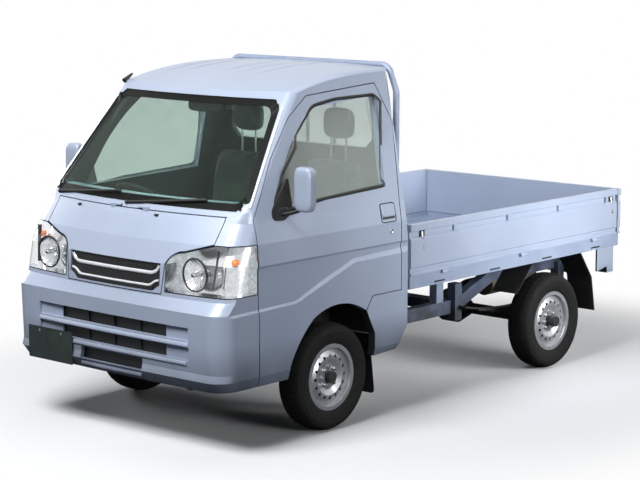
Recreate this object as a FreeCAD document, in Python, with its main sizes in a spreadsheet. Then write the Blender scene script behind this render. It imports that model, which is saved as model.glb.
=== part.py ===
import FreeCAD, Part
import math
import os
import re
import Sketcher

# Small light truck with a cab over the front wheels and a drop-side bed.
# Drawn in millimetres with +Z up, the front facing -Y and the vehicle's left side at +X.
# Stations are measured rearward from the front axle. Each sub-part's Placement then moves
# it so that the origin lies on the floor under the middle of the overall length.

os.makedirs("parts", exist_ok=True)
document = FreeCAD.newDocument("kei_truck")
sheet = document.addObject("Spreadsheet::Sheet", "sizes")

Vector = FreeCAD.Vector

# Driving dimensions, one group for each assembly

SIZES = {
    # whole vehicle
    "overall_length": 3395,
    "overall_width": 1475,
    "wheelbase": 1900,
    "front_overhang": 830,
    "track": 1305,
    "panel_gap": 5,
    "seat_gap": 0.3,
    "overrun": 40,
    # wheels
    "tyre_radius": 271,
    "tyre_width": 145,
    "tyre_shoulder_radius": 255,
    "tyre_tread_width": 112,
    "tyre_bulge": 5,
    "rim_width": 114,
    "rim_flange_radius": 168,
    "rim_flange_width": 6,
    "rim_seat_radius": 153,
    "rim_well_radius": 135,
    "rim_well_width": 34,
    "rim_wall": 5,
    "rim_hub_radius": 30,
    "rim_hub_offset": 36,
    "rim_dish_radius": 62,
    "rim_crown_radius": 92,
    "rim_crown_offset": 48,
    "rim_hole_circle": 107,
    "rim_hole_radius": 8.5,
    "wheel_nut_circle": 50,
    "wheel_nut_radius": 10,
    "wheel_nut_length": 12,
    # cab outline, each level a rise above the one below
    "ground_clearance": 320,
    "lip_rise": 51,
    "groove_rise": 34,
    "bumper_rise": 319,
    "shelf_rise": 55,
    "lamp_rise": 155,
    "brow_rise": 100,
    "cowl_rise": 100,
    "belt_rise": 50,
    "header_rise": 510,
    "crown_rise": 160,
    "sill_tuck": 15,
    "brow_tuck": 9,
    "cowl_tuck": 31,
    "belt_tuck": 40,
    "header_tuck": 135,
    "sill_nose": 800,
    "lip_nose": 830,
    "groove_nose": 820,
    "bumper_nose": 830,
    "shelf_nose": 808,
    "lamp_nose": 800,
    "brow_nose": 762,
    "cowl_nose": 702,
    "belt_nose": 662,
    "header_nose": 243,
    "bumper_sweep": 16,
    "shelf_sweep": 46,
    "lamp_sweep": 58,
    "brow_sweep": 72,
    "cowl_sweep": 84,
    "belt_sweep": 78,
    "header_sweep": 58,
    "bumper_corner": 100,
    "lamp_corner": 120,
    "glass_corner": 50,
    "cab_back": 590,
    "cab_back_corner": 45,
    # pressed fold along the side
    "fold_depth": 7,
    "fold_top": 898,
    "fold_top_width": 12,
    "fold_front_height": 674,
    "fold_front_width": 12,
    "fold_foot_station": -285,
    "fold_foot_height": 687,
    "fold_rise_station": -103,
    "fold_rise_height": 749,
    "fold_middle_width": 21,
    "fold_bend_station": 145,
    "fold_bend_height": 833,
    "fold_rear_height": 838,
    "fold_rear_width": 30,
    # roof
    "roof_top": 1782,
    "roof_front_drop": 138,
    "roof_crown": 12,
    "roof_edge_radius": 48,
    "roof_front_station": -320,
    "roof_groove_radius": 40,
    "roof_groove_depth": 6,
    "roof_groove_pitch": 126,
    "roof_groove_front": 0,
    "roof_groove_run": 140,
    # cab walls
    "side_wall": 45,
    "back_wall": 40,
    "roof_wall": 30,
    "firewall_depth": 110,
    "pillar_depth": 60,
    "floor_wall": 20,
    "floor_height": 446,
    "seat_floor_height": 660,
    "footwell_back": 348,
    # bumper
    "bumper_wall": 25,
    "side_seam": 550,
    "bumper_top": 735,
    "slot_half_width": 535,
    "slot_top": 618,
    "slot_bottom": 461,
    "slot_bar": 30,
    "slot_end_depth": 12,
    "mesh_half_width": 370,
    "intake_half_width": 220,
    "intake_top": 431,
    "intake_bottom": 371,
    "mesh_thickness": 6,
    "slat_spacing": 185,
    "slat_width": 8,
    "slat_depth": 18,
    # hood and grille
    "hood_bottom": 750,
    "hood_bottom_half_width": 331,
    "hood_waist_height": 1000,
    "hood_waist_half_width": 592,
    "hood_top": 1128,
    "hood_top_half_width": 592,
    "hood_thickness": 16,
    "hood_axis_station": -680,
    "hood_axis_height": 1135,
    "hood_barrel_radius": 5.5,
    "hood_barrel_length": 35,
    "hood_barrel_place": 60,
    "service_depth": 60,
    "grille_top": 899,
    "grille_bottom": 762,
    "grille_half_width": 318,
    "grille_inset": 10,
    "grille_thickness": 10,
    "grille_bar": 16,
    # head lamps
    "lamp_top": 1016,
    "lamp_inner": 349,
    "lamp_bottom": 764,
    "lamp_inner_top": 1003,
    "lamp_shoulder": 440,
    "lamp_shoulder_height": 960,
    "lamp_depth": 80,
    # windscreen and rear window
    "screen_bottom": 1152,
    "screen_bottom_half_width": 672,
    "screen_top": 1652,
    "screen_top_half_width": 572,
    "screen_corner": 45,
    "screen_flange": 34,
    "glass_inset": 6,
    "glass_thickness": 5,
    "rear_window_bottom": 1350,
    "rear_window_top": 1630,
    "rear_window_half_width": 500,
    # doors
    "door_front_top": 1120,
    "door_mid_height": 1383,
    "door_mid_station": -377,
    "door_head_height": 1571,
    "door_head_station": -217,
    "door_roof_front": -68,
    "door_roof_front_height": 1668,
    "door_roof_rear": 457,
    "door_roof_height": 1700,
    "door_rear": 560,
    "door_rear_top": 1500,
    "door_rear_low": 513,
    "door_rear_low_height": 902,
    "door_sill_height": 643,
    "door_sill_front": 285,
    "door_hinge_inset": 3,
    "door_hinge_setback": 25,
    "hinge_reach": 44,
    "hinge_height": 40,
    "hinge_low": 495,
    "hinge_high": 735,
    # door windows
    "window_bottom": 1180,
    "window_low_front": -392,
    "window_low_front_height": 1150,
    "window_mid_front": -292,
    "window_mid_front_height": 1340,
    "window_top_front": -40,
    "window_top_front_height": 1606,
    "window_top_rear": 446,
    "window_top": 1638,
    "window_bottom_rear": 432,
    # wheel arch
    "arch_front": -332,
    "arch_front_height": 380,
    "arch_shoulder": -162,
    "arch_shoulder_height": 594,
    "arch_crown": 30,
    "arch_crown_height": 640,
    "arch_rear_shoulder": 237,
    "arch_rear_shoulder_height": 576,
    "arch_rear": 302,
    "arch_rear_height": 451,
    "panel_foot": 474,
    "panel_foot_height": 341,
    "panel_rear": 560,
    "panel_rear_height": 455,
    # mirrors
    "mirror_width": 105,
    "mirror_height": 214,
    "mirror_depth": 60,
    "mirror_station": -311,
    "mirror_centre_height": 1248,
    "mirror_reach": 132,
    "mirror_arm_radius": 11,
    # frame
    "rail_spacing": 740,
    "rail_width": 50,
    "rail_height": 75,
    "rail_low": 350,
    "rail_high": 480,
    "rail_front": -680,
    "rail_kick_start": 1420,
    "rail_kick_end": 1760,
    "rail_rear": 2480,
    "eye_front_station": -640,
    "eye_rear_station": 2450,
    "eye_front_drop": 55,
    "eye_rear_drop": 28,
    "eye_radius": 30,
    "eye_bore_radius": 13,
    "eye_thickness": 12,
    "member_width": 60,
    # cargo bed
    "bed_front": 600,
    "bed_rear_inset": 12,
    "deck_height": 682,
    "deck_plate": 6,
    "deck_rib_depth": 8,
    "deck_rib_pitch": 94,
    "rail_half_width": 720,
    "deck_rail_width": 34,
    "deck_rail_top": 700,
    "deck_rail_bottom": 630,
    "sill_depth": 50,
    "sill_width": 70,
    "gate_half_width": 730,
    "gate_thickness": 30,
    "gate_bottom": 703,
    "gate_top": 967,
    "gate_flange": 20,
    "gate_rail_height": 34,
    "gate_skin": 6,
    "gate_end_setback": 35,
    "gate_axis_half_width": 732,
    "gate_axis_height": 690,
    "gate_barrel_radius": 5.5,
    "gate_barrel_length": 40,
    "gate_hinge_inset": 260,
    "headboard_thickness": 26,
    "hook_radius": 4,
    "hook_length": 80,
    # guard frame behind the cab
    "guard_radius": 17,
    "guard_station": 625,
    "guard_top": 1778,
    "guard_half_width": 602,
    "guard_shoulder_height": 1650,
    "guard_flat_half_width": 500,
    "guard_bar_radius": 9,
    "guard_bar_spacing": 190,
    "guard_rail_height": 1190,
    # running gear
    "axle_radius": 32,
    "differential_radius": 95,
    "hub_radius": 29.5,
    "hub_length": 60,
    "spring_spacing": 900,
    "spring_width": 50,
    "spring_leaf": 8,
    "spring_length": 1000,
    "spring_camber": 60,
    "kingpin_half_width": 600,
    "knuckle_width": 62,
    "knuckle_height": 130,
    "knuckle_depth": 72,
    "brake_radius": 104,
    "brake_thickness": 14,
    "arm_height": 22,
    "arm_width": 50,
    "strut_half_width": 505,
    "strut_radius": 21,
    # engine and fuel
    "engine_width": 480,
    "engine_length": 470,
    "engine_height": 330,
    "engine_low": 250,
    "engine_front": 60,
    "shaft_radius": 30,
    "tank_width": 230,
    "tank_length": 560,
    "tank_height": 180,
    "tank_front": 780,
    "muffler_radius": 68,
    "muffler_length": 460,
    "pipe_radius": 20,
    # cab interior
    "seat_width": 460,
    "seat_centre": 320,
    "seat_length": 460,
    "seat_thickness": 130,
    "seat_front": -30,
    "seat_back_height": 670,
    "seat_back_thickness": 90,
    "seat_lean": 110,
    "headrest_width": 215,
    "headrest_height": 180,
    "headrest_thickness": 85,
    "headrest_post_radius": 6,
    "headrest_rise": 55,
    "dash_top": 1100,
    "dash_bottom": 780,
    "dash_rear": 330,
    "wheel_rim_radius": 185,
    "wheel_grip_radius": 14,
    "wheel_hub_radius": 75,
    "wheel_station": -250,
    "wheel_centre_height": 1060,
    "wheel_rake": 40,
    "column_radius": 24,
    "column_length": 150,
    # small outside pieces
    "plate_width": 330,
    "plate_height": 165,
    "plate_thickness": 2,
    "plate_front_centre": 440,
    "plate_front_bottom": 325,
    "wiper_radius": 7,
    "wiper_driver_pivot": -33,
    "wiper_passenger_pivot": -600,
    "wiper_length": 480,
    "antenna_radius": 7,
    "antenna_length": 70,
    "rear_lamp_width": 80,
    "rear_lamp_height": 150,
    "rear_lamp_depth": 70,
    "rear_lamp_half_width": 652,
    "rear_lamp_low": 470,
    "underrun_height": 60,
    "underrun_width": 1000,
    "underrun_low": 440,
    "underrun_depth": 35,
    "guard_plate": 4,
    "mudguard_width": 170,
    "mudguard_inner": 545,
    "mudguard_clearance": 75,
    "flap_width": 190,
    "flap_height": 220,
}

# Counts and shares, which no change of scale touches

RIM_HOLE_COUNT = 16
WHEEL_NUT_COUNT = 4
SILL_COUNT = 6
DECK_RIB_COUNT = 13
GATE_HINGE_COUNT = 3
SPRING_LEAF_COUNT = 4
HOOK_COUNT = 4
ROOF_STATION_COUNT = 10
ROOF_GROOVE_COUNT = 8
ROOF_GROOVE_POINT_COUNT = 8
ROOF_BOW_POWER = 2.8
CORNER_SETTLING_COUNT = 6
WIPER_POINT_COUNT = 6

for row, (alias, number) in enumerate(SIZES.items(), start=1):
    cell = "A%d" % row
    sheet.set(cell, str(number))
    sheet.setAlias(cell, alias)
document.recompute()

# Places worked out from the driving dimensions

DERIVED = {
    "seat_floor_top": "seat_floor_height + seat_gap",
    "half_width": "overall_width / 2",
    "axle_place": "front_overhang - overall_length / 2",
    "vehicle_rear": "overall_length - front_overhang",
    "hub_height": "tyre_radius",
    "wheel_offset": "track / 2",
    "lip": "ground_clearance + lip_rise",
    "groove": "lip + groove_rise",
    "bumper": "lip + bumper_rise",
    "shelf": "bumper + shelf_rise",
    "lamp": "shelf + lamp_rise",
    "brow": "lamp + brow_rise",
    "cowl": "brow + cowl_rise",
    "belt": "cowl + belt_rise",
    "header": "belt + header_rise",
    "crown": "header + crown_rise",
    "header_slope": "(belt_nose - header_nose) / header_rise",
    "tumble": "(header_tuck - belt_tuck) / header_rise",
    "crown_nose": "header_nose - crown_rise * header_slope",
    "crown_tuck": "header_tuck + crown_rise * tumble",
    "bed_rear": "vehicle_rear - bed_rear_inset",
    "gate_rear": "vehicle_rear - half_width + gate_half_width",
    "gate_axis_rear": "vehicle_rear - half_width + gate_axis_half_width",
    "side_gate_rear": "gate_rear - gate_thickness - panel_gap",
    "gate_inner": "gate_half_width - gate_thickness",
    "rail_centre": "rail_spacing / 2",
    "rail_top_low": "rail_low + rail_height",
    "rail_top_high": "rail_high + rail_height",
    "rear_axle": "wheelbase",
    "spring_centre": "spring_spacing / 2",
}


def expand(text):
    """Write out an expression with each plain name given as a cell of the sheet."""

    def named(match):
        word = match.group(0)
        if word in DERIVED:
            return "(" + expand(DERIVED[word]) + ")"
        if word in SIZES:
            return "sizes." + word
        return word

    return re.sub(r"[a-z_]+[a-z_0-9]*", named, text)


def size(text):
    """Give the number that a name or an expression of names stands for."""
    return float(sheet.evalExpression(expand(text)))


def bind(item, **settings):
    """Tie properties of a document object to expressions of the sheet's names."""
    for name, text in settings.items():
        item.setExpression(name.replace("__", "."), expand(text))
    return item


# Building blocks

UP = Vector(0, 0, 1)
ACROSS = Vector(1, 0, 0)
ALONG = Vector(0, 1, 0)
ORIGIN = Vector(0, 0, 0)


TURNS = {
    "XY": FreeCAD.Rotation(),
    "XZ": FreeCAD.Rotation(Vector(1, 0, 0), 90),
    "YZ": FreeCAD.Rotation(Vector(1, 1, 1), 120),
}


def draw(body, name, plane, corners, height="0"):
    """Sketch one closed outline on a plane of the body, each corner tied to the sheet."""
    sketch = body.newObject("Sketcher::SketchObject", name)
    planes = [item for item in body.Origin.OriginFeatures if item.Role == plane + "_Plane"]
    sketch.AttachmentSupport = [(planes[0], "")]
    sketch.MapMode = "FlatFace"
    sketch.setExpression("AttachmentOffset.Base.z", expand(height))
    return trace(sketch, corners)


def sheet_outline(name, plane, corners):
    """Sketch one closed outline that stands by itself, for cutters and carved panels."""
    sketch = document.addObject("Sketcher::SketchObject", name)
    sketch.Placement = FreeCAD.Placement(ORIGIN, TURNS[plane])
    return trace(sketch, corners)


def extruded(name, source, plane, start, length):
    """Extrude an outline along its plane's normal, from a start to a length."""
    item = document.addObject("Part::Extrusion", name)
    normal = TURNS[plane].multVec(UP)
    item.Base = source
    item.DirMode = "Custom"
    item.Dir = normal
    item.Solid = True
    item.setExpression("LengthFwd", expand(length))
    for axis, share in zip("xyz", normal):
        if round(share):
            item.setExpression("Placement.Base." + axis, "%d * (%s)" % (round(share), expand(start)))
    return item


def narrowed(name, source, amount):
    """Offset an outline inward all round by a named amount."""
    face = document.addObject("Part::Face", name + "_face")
    face.Sources = [source]
    item = document.addObject("Part::Offset2D", name)
    item.Source = face
    item.Mode = "Skin"
    item.Join = "Intersection"
    item.setExpression("Value", "-1 * (%s)" % expand(amount))
    return item


def trace(sketch, corners):
    """Draw straight runs and arcs through the corners and hold each point by the sheet.

    A corner is (across, up), and ("via", across, up) is a point that an arc passes through.
    """
    ends = [corner for corner in corners if corner[0] != "via"]
    points = [Vector(size(corner[0]), size(corner[1]), 0) for corner in ends]
    edge = -1
    for place, corner in enumerate(corners):
        if corner[0] == "via":
            continue
        edge += 1
        following = points[(edge + 1) % len(points)]
        beside = corners[(place + 1) % len(corners)]
        if beside[0] == "via":
            middle = Vector(size(beside[1]), size(beside[2]), 0)
            sketch.addGeometry(Part.Arc(points[edge], middle, following), False)
        else:
            sketch.addGeometry(Part.LineSegment(points[edge], following), False)
    for edge in range(len(points)):
        following = (edge + 1) % len(points)
        meeting = points[following]
        sketch.addConstraint(Sketcher.Constraint("Coincident", edge, nearer_end(sketch, edge, meeting),
                                                 following, nearer_end(sketch, following, meeting)))
    for edge, corner in enumerate(ends):
        fix_point(sketch, edge, nearer_end(sketch, edge, points[edge]), corner)
    for edge, middle in arc_starts(corners):
        marker = sketch.addGeometry(Part.Point(Vector(size(middle[1]), size(middle[2]), 0)), True)
        sketch.addConstraint(Sketcher.Constraint("PointOnObject", marker, 1, edge))
        fix_point(sketch, marker, 1, middle[1:])
    return sketch


def arc_starts(corners):
    """List each arc of an outline as its edge number and the point it passes through."""
    found = []
    edge = -1
    for corner in corners:
        if corner[0] == "via":
            found.append((edge, corner))
        else:
            edge += 1
    return found


def nearer_end(sketch, edge, point):
    """Tell which end of a sketch edge lies at a point: 1 is its start and 2 its end."""
    return 1 if sketch.getPoint(edge, 1).distanceToPoint(point) <= sketch.getPoint(edge, 2).distanceToPoint(point) else 2


def fix_point(sketch, edge, end, corner):
    """Hold one point of a sketch at a place given by two expressions."""
    for kind, text in (("DistanceX", corner[0]), ("DistanceY", corner[1])):
        index = sketch.addConstraint(Sketcher.Constraint(kind, -1, 1, edge, end, size(text)))
        sketch.setExpression("Constraints[%d]" % index, expand(text))


def prism(name, plane, corners, start, length):
    """Pad an outline from one station to the next along its plane's normal."""
    body = document.addObject("PartDesign::Body", name)
    sketch = draw(body, name + "_outline", plane, corners, start)
    pad = body.newObject("PartDesign::Pad", name + "_pad")
    pad.Profile = sketch
    pad.setExpression("Length", expand(length))
    return body


def turned(name, corners):
    """Revolve an outline of (along, radius) corners about the X axis."""
    body = document.addObject("PartDesign::Body", name)
    sketch = draw(body, name + "_outline", "XY", corners)
    turn = body.newObject("PartDesign::Revolution", name + "_turn")
    turn.Profile = sketch
    turn.ReferenceAxis = (sketch, ["H_Axis"])
    return body


def block(name, corner, spans):
    """Make a box from its low corner and its three spans, all expressions."""
    item = document.addObject("Part::Box", name)
    bind(item, Length=spans[0], Width=spans[1], Height=spans[2],
         Placement__Base__x=corner[0], Placement__Base__y=corner[1], Placement__Base__z=corner[2])
    return item


def rod(name, radius, length, start, direction):
    """Make a round bar from its start point along a world axis."""
    item = document.addObject("Part::Cylinder", name)
    item.Placement = FreeCAD.Placement(ORIGIN, FreeCAD.Rotation(UP, direction))
    bind(item, Radius=radius, Height=length,
         Placement__Base__x=start[0], Placement__Base__y=start[1], Placement__Base__z=start[2])
    return item


def joined(name, pieces):
    """Fuse pieces into one object."""
    item = document.addObject("Part::MultiFuse", name)
    item.Shapes = pieces
    return item


def gathered(name, pieces):
    """Hold pieces that don't touch in one object."""
    item = document.addObject("Part::Compound", name)
    item.Links = pieces
    return item


def carved(name, base, tools):
    """Cut tools one by one from a base."""
    item = base
    for number, tool in enumerate(tools, start=1):
        cut = document.addObject("Part::Cut", "%s_cut_%d" % (name, number))
        cut.Base = item
        cut.Tool = tool
        item = cut
    return item


def shared(name, pieces):
    """Keep only what all the pieces have in common."""
    item = document.addObject("Part::MultiCommon", name)
    item.Shapes = pieces
    return item


def mirrored(name, source):
    """Mirror a piece from one side of the vehicle to the other."""
    item = document.addObject("Part::Mirroring", name)
    item.Source = source
    item.Normal = ACROSS
    return item


def held(name, shape):
    """Hold a worked-out shape in the document."""
    item = document.addObject("Part::Feature", name)
    item.Shape = shape
    return item


def settled(item):
    """Recompute the document and hand back the object's shape."""
    document.recompute()
    return item.Shape


subparts = {}

# A mirror image follows its source, which is in place already
UNMOVED = ("0", "0", "0")


def finish(node, item, place=("0", "axle_place", "0")):
    """Give a sub-part its label and its place in the vehicle."""
    if item.TypeId in ("Part::Box", "Part::Cylinder", "Part::Extrusion") or node in subparts:
        raise RuntimeError(node)
    item.Label = node
    bind(item, Placement__Base__x=place[0], Placement__Base__y=place[1], Placement__Base__z=place[2])
    subparts[node] = item
    return item


def pipe(name, route, radius, bend):
    """Sweep a round tube along straight runs joined by tangent arcs."""
    points = [Vector(size(a), size(b), size(c)) for a, b, c in route]
    reach = size(bend)
    edges = []
    last = points[0]
    for before, here, after in zip(points, points[1:], points[2:]):
        back = (before - here).normalize()
        ahead = (after - here).normalize()
        half = back.getAngle(ahead) / 2
        trim = reach / math.tan(half)
        enter = here + back * trim
        leave = here + ahead * trim
        inward = (back + ahead).normalize()
        centre = here + inward * (trim ** 2 + reach ** 2) ** 0.5
        middle = centre - inward * reach
        edges.append(Part.makeLine(last, enter))
        edges.append(Part.Arc(enter, middle, leave).toShape())
        last = leave
    edges.append(Part.makeLine(last, points[-1]))
    path = Part.Wire(edges)
    heading = (points[1] - points[0]).normalize()
    ring = Part.Wire(Part.makeCircle(size(radius), points[0], heading))
    swept = path.makePipeShell([ring], True, False)
    return held(name, swept)


# Cab outline

LEVELS = (
    # height, tuck of the side, nose, sweep of the corner, corner radius
    ("ground_clearance", "sill_tuck", "sill_nose", "bumper_sweep", "bumper_corner"),
    ("lip", "0", "lip_nose", "bumper_sweep", "bumper_corner"),
    ("groove", "0", "groove_nose", "bumper_sweep", "bumper_corner"),
    ("bumper", "0", "bumper_nose", "bumper_sweep", "bumper_corner"),
    ("shelf", "0", "shelf_nose", "shelf_sweep", "bumper_corner"),
    ("lamp", "0", "lamp_nose", "lamp_sweep", "lamp_corner"),
    ("brow", "brow_tuck", "brow_nose", "brow_sweep", "lamp_corner"),
    ("cowl", "cowl_tuck", "cowl_nose", "cowl_sweep", "bumper_corner"),
    ("belt", "belt_tuck", "belt_nose", "belt_sweep", "glass_corner"),
    ("header", "header_tuck", "header_nose", "header_sweep", "glass_corner"),
    ("crown", "crown_tuck", "crown_nose", "header_sweep", "glass_corner"),
)


def corner_turn(half, sweep, bend):
    """Settle the angle at which the front's arc meets its corner arc."""
    turn = 0.0
    for _ in range(CORNER_SETTLING_COUNT):
        turn = 2 * math.atan(sweep / (half - bend + bend * math.sin(turn)))
    return turn


def nose_at(across, height):
    """Work out the station of the cab's front face at one place across and one height."""
    levels = [[size(text) for text in level] for level in LEVELS]
    for below, above in zip(levels, levels[1:]):
        if below[0] <= height <= above[0]:
            part = (height - below[0]) / (above[0] - below[0])
            _, tuck, nose, sweep, bend = (low + part * (high - low) for low, high in zip(below, above))
            half = size("half_width") - tuck
            joint = half - bend + bend * math.sin(corner_turn(half, sweep, bend))
            radius = (joint ** 2 + sweep ** 2) / (2 * sweep)
            return -nose + radius - math.sqrt(radius ** 2 - across ** 2)
    raise ValueError(height)


def plan_ring(level, side_inset, nose_inset, back_inset):
    """Draw the cab's outline at one height, seen from above.

    The front is one arc, and each front corner is an arc that runs smoothly into it.
    """
    height, tuck, nose, sweep, corner = (size(text) for text in level)
    half = size("half_width") - tuck - side_inset
    front = -nose + nose_inset
    back = size("cab_back") - back_inset
    bend = corner - side_inset / 2
    back_bend = size("cab_back_corner") - back_inset / 2
    turn = corner_turn(half, sweep, bend)
    joint = Vector(half - bend + bend * math.sin(turn), front + sweep, height)
    centre = Vector(half - bend, joint.y + bend * math.cos(turn), height)
    middle_turn = (math.pi / 2 + turn) / 2
    corner_middle = centre + Vector(bend * math.sin(middle_turn), -bend * math.cos(middle_turn), 0)
    back_centre = Vector(half - back_bend, back - back_bend, height)
    back_middle = back_centre + Vector(back_bend, back_bend, 0) * math.sqrt(0.5)

    def other(point):
        return Vector(-point.x, point.y, point.z)

    side_front = Vector(half, centre.y, height)
    side_back = Vector(half, back_centre.y, height)
    back_end = Vector(back_centre.x, back, height)
    edges = [
        Part.makeLine(other(back_end), back_end),
        Part.Arc(back_end, back_middle, side_back).toShape(),
        Part.makeLine(side_back, side_front),
        Part.Arc(side_front, corner_middle, joint).toShape(),
        Part.Arc(joint, Vector(0, front, height), other(joint)).toShape(),
        Part.Arc(other(joint), other(corner_middle), other(side_front)).toShape(),
        Part.makeLine(other(side_front), other(side_back)),
        Part.Arc(other(side_back), other(back_middle), other(back_end)).toShape(),
    ]
    return Part.Wire(edges)


def roof_height(station):
    """Give the height of the roof's middle line, which drops towards the front."""
    run = max(0.0, (size("cab_back") - station) / (size("cab_back") - size("roof_front_station")))
    return size("roof_top") - size("roof_front_drop") * run ** ROOF_BOW_POWER


def roof_section(station, side_inset, roof_inset):
    """Draw the space under the roof at one station: side glass planes, round edges and a crown."""
    top = roof_height(station) - roof_inset
    edge_top = top - size("roof_crown")
    bend = size("roof_edge_radius") - side_inset / 2
    belt = size("belt")
    wide = size("overall_width")
    side_top = edge_top - bend

    def side_at(height):
        tuck = size("belt_tuck") + (height - belt) * size("tumble")
        return size("half_width") - tuck - side_inset + size("panel_gap")

    low = Vector(side_at(belt), station, belt)
    high = Vector(side_at(side_top), station, side_top)
    inner = Vector(high.x - bend, station, edge_top)
    middle = Vector(high.x - bend * (1 - math.sqrt(0.5)), station, edge_top - bend * (1 - math.sqrt(0.5)))
    skirt = [Vector(wide, station, belt), Vector(wide, station, 0)]

    def other(point):
        return Vector(-point.x, point.y, point.z)

    right = [skirt[1], skirt[0], low, high]
    edges = [Part.makeLine(a, b) for a, b in zip(right, right[1:])]
    edges.append(Part.Arc(high, middle, inner).toShape())
    edges.append(Part.Arc(inner, Vector(0, station, top), other(inner)).toShape())
    edges.append(Part.Arc(other(inner), other(middle), other(high)).toShape())
    left = [other(point) for point in reversed(right)]
    edges += [Part.makeLine(a, b) for a, b in zip(left, left[1:])]
    edges.append(Part.makeLine(left[-1], right[0]))
    return Part.Wire(edges)


def cab_form(side_inset="0", nose_inset="0", screen_inset="0", back_inset="0", roof_inset="0", drop="0"):
    """Make the cab's closed form, or one that is smaller all round by the given insets."""
    side = size(side_inset)
    belt = size("belt")
    rings = []
    for level in LEVELS:
        inset = size(screen_inset) if size(level[0]) >= belt else size(nose_inset)
        rings.append(plan_ring(level, side, inset, size(back_inset)))
    if drop != "0":
        foot = rings[0].copy()
        foot.translate(Vector(0, 0, -size(drop)))
        rings.insert(0, foot)
    body = Part.makeLoft(rings, True, True)
    front = size("roof_front_station")
    span = size("cab_back") + size("overrun") - front
    stations = [front + span * number / ROOF_STATION_COUNT for number in range(ROOF_STATION_COUNT + 1)]
    sections = [roof_section(station, side, size(roof_inset)) for station in stations]
    nose = roof_section(front, side, size(roof_inset))
    nose.translate(Vector(0, -size("overall_width"), 0))
    roof = Part.makeLoft([nose] + sections, True, True)
    return body.common(roof)


def roof_grooves():
    """Make the cutters of the grooves pressed along the roof, which fade out towards the front."""
    start = size("roof_groove_front")
    run = size("cab_back") + size("overrun") - start
    grooves = []
    for number in range(ROOF_GROOVE_COUNT):
        side_share = (2 * number + 1) / ROOF_GROOVE_COUNT - 1
        across = side_share * size("roof_groove_pitch") * ROOF_GROOVE_COUNT / 2
        lift = size("roof_groove_radius") - size("roof_crown") * side_share ** 2
        points = []
        for step in range(ROOF_GROOVE_POINT_COUNT + 1):
            station = start + run * step / ROOF_GROOVE_POINT_COUNT
            depth_share = min(1.0, (station - start) / size("roof_groove_run"))
            depth = size("roof_groove_depth") * depth_share - size("seat_gap") * (1 - depth_share)
            points.append(Vector(across, station, roof_height(station) + lift - depth))
        curve = Part.BSplineCurve()
        curve.interpolate(points)
        heading = curve.tangent(curve.FirstParameter)[0]
        ring = Part.Wire(Part.makeCircle(size("roof_groove_radius"), points[0], heading))
        swept = Part.Wire(curve.toShape()).makePipeShell([ring], True, False)
        grooves.append(held("roof_groove_%d" % number, swept))
    return grooves


def side_fold():
    """Make the cutter of the fold pressed into the side: a wedge with sloped edges.

    Its top edge is level, and its lower edge climbs from the front to meet the top at the rear.
    """
    front = -size("front_overhang")
    rear = size("cab_back") + size("overrun")
    top = size("fold_top")
    lower = [
        (rear, size("fold_rear_height"), size("fold_rear_width")),
        (size("fold_bend_station"), size("fold_bend_height"), size("fold_middle_width")),
        (size("fold_rise_station"), size("fold_rise_height"), size("fold_middle_width")),
        (size("fold_foot_station"), size("fold_foot_height"), size("fold_front_width")),
        (front, size("fold_front_height"), size("fold_front_width")),
    ]
    rings = []
    for side in (1, -1):
        level = top + side * size("fold_top_width")
        points = [Vector(0, front, level), Vector(0, rear, level)]
        points += [Vector(0, station, height - side * width) for station, height, width in lower]
        ring = Part.makePolygon(points + points[:1])
        ring.translate(Vector(size("half_width") + side * size("fold_depth"), 0, 0))
        rings.append(ring)
    return held("side_fold_cutter", Part.makeLoft(rings, True, True))


def side_panel(name, corners, amount="0"):
    """Make a cutter through the left wall of the cab from an outline of (station, height)."""
    source = sheet_outline(name + "_outline", "YZ", corners)
    if amount != "0":
        source = narrowed(name + "_narrowed", source, amount)
    return extruded(name, source, "YZ", "pillar_inner", "overall_width")


def front_panel(name, corners, amount="0", start="0", length="front_overhang + overrun"):
    """Make a cutter through the front from an outline of (across, height)."""
    source = sheet_outline(name + "_outline", "XZ", corners)
    if amount != "0":
        source = narrowed(name + "_narrowed", source, amount)
    return extruded(name, source, "XZ", start, length)


def both_sides(corners):
    """Close an outline given for the left side by its mirror image."""
    other = [(corner[0], "-(%s)" % corner[1], corner[2]) if corner[0] == "via" else ("-(%s)" % corner[0], corner[1])
             for corner in reversed(corners)]
    return corners + other


DOOR = [
    ("-side_seam", "-overrun"),
    ("-side_seam", "door_front_top"),
    ("door_mid_station", "door_mid_height"),
    ("door_head_station", "door_head_height"),
    ("door_roof_front", "door_roof_front_height"),
    ("door_roof_rear - door_roof_height + door_roof_front_height", "door_roof_height"),
    ("door_roof_rear", "door_roof_height"),
    ("door_rear", "door_rear_top"),
    ("door_rear_low", "door_rear_low_height"),
    ("door_rear_low", "door_sill_height"),
    ("door_sill_front", "door_sill_height"),
    ("arch_rear_shoulder", "arch_rear_shoulder_height"),
    ("arch_rear_shoulder", "-overrun"),
]

WINDOW = [
    ("window_low_front", "window_low_front_height"),
    ("window_mid_front", "window_mid_front_height"),
    ("via", "(window_mid_front + window_top_front) / 2 - panel_gap * 2",
     "(window_mid_front_height + window_top_front_height) / 2 + panel_gap * 4"),
    ("window_top_front", "window_top_front_height"),
    ("window_top_rear", "window_top"),
    ("window_bottom_rear", "window_bottom"),
]

ARCH = [
    ("arch_front", "-overrun"),
    ("arch_front", "arch_front_height"),
    ("via", "(arch_front + arch_shoulder) / 2 - panel_gap * 4", "(arch_front_height + arch_shoulder_height) / 2"),
    ("arch_shoulder", "arch_shoulder_height"),
    ("via", "arch_crown", "arch_crown_height"),
    ("arch_rear_shoulder", "arch_rear_shoulder_height"),
    ("arch_rear", "arch_rear_height"),
    ("arch_rear", "-overrun"),
]

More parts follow.
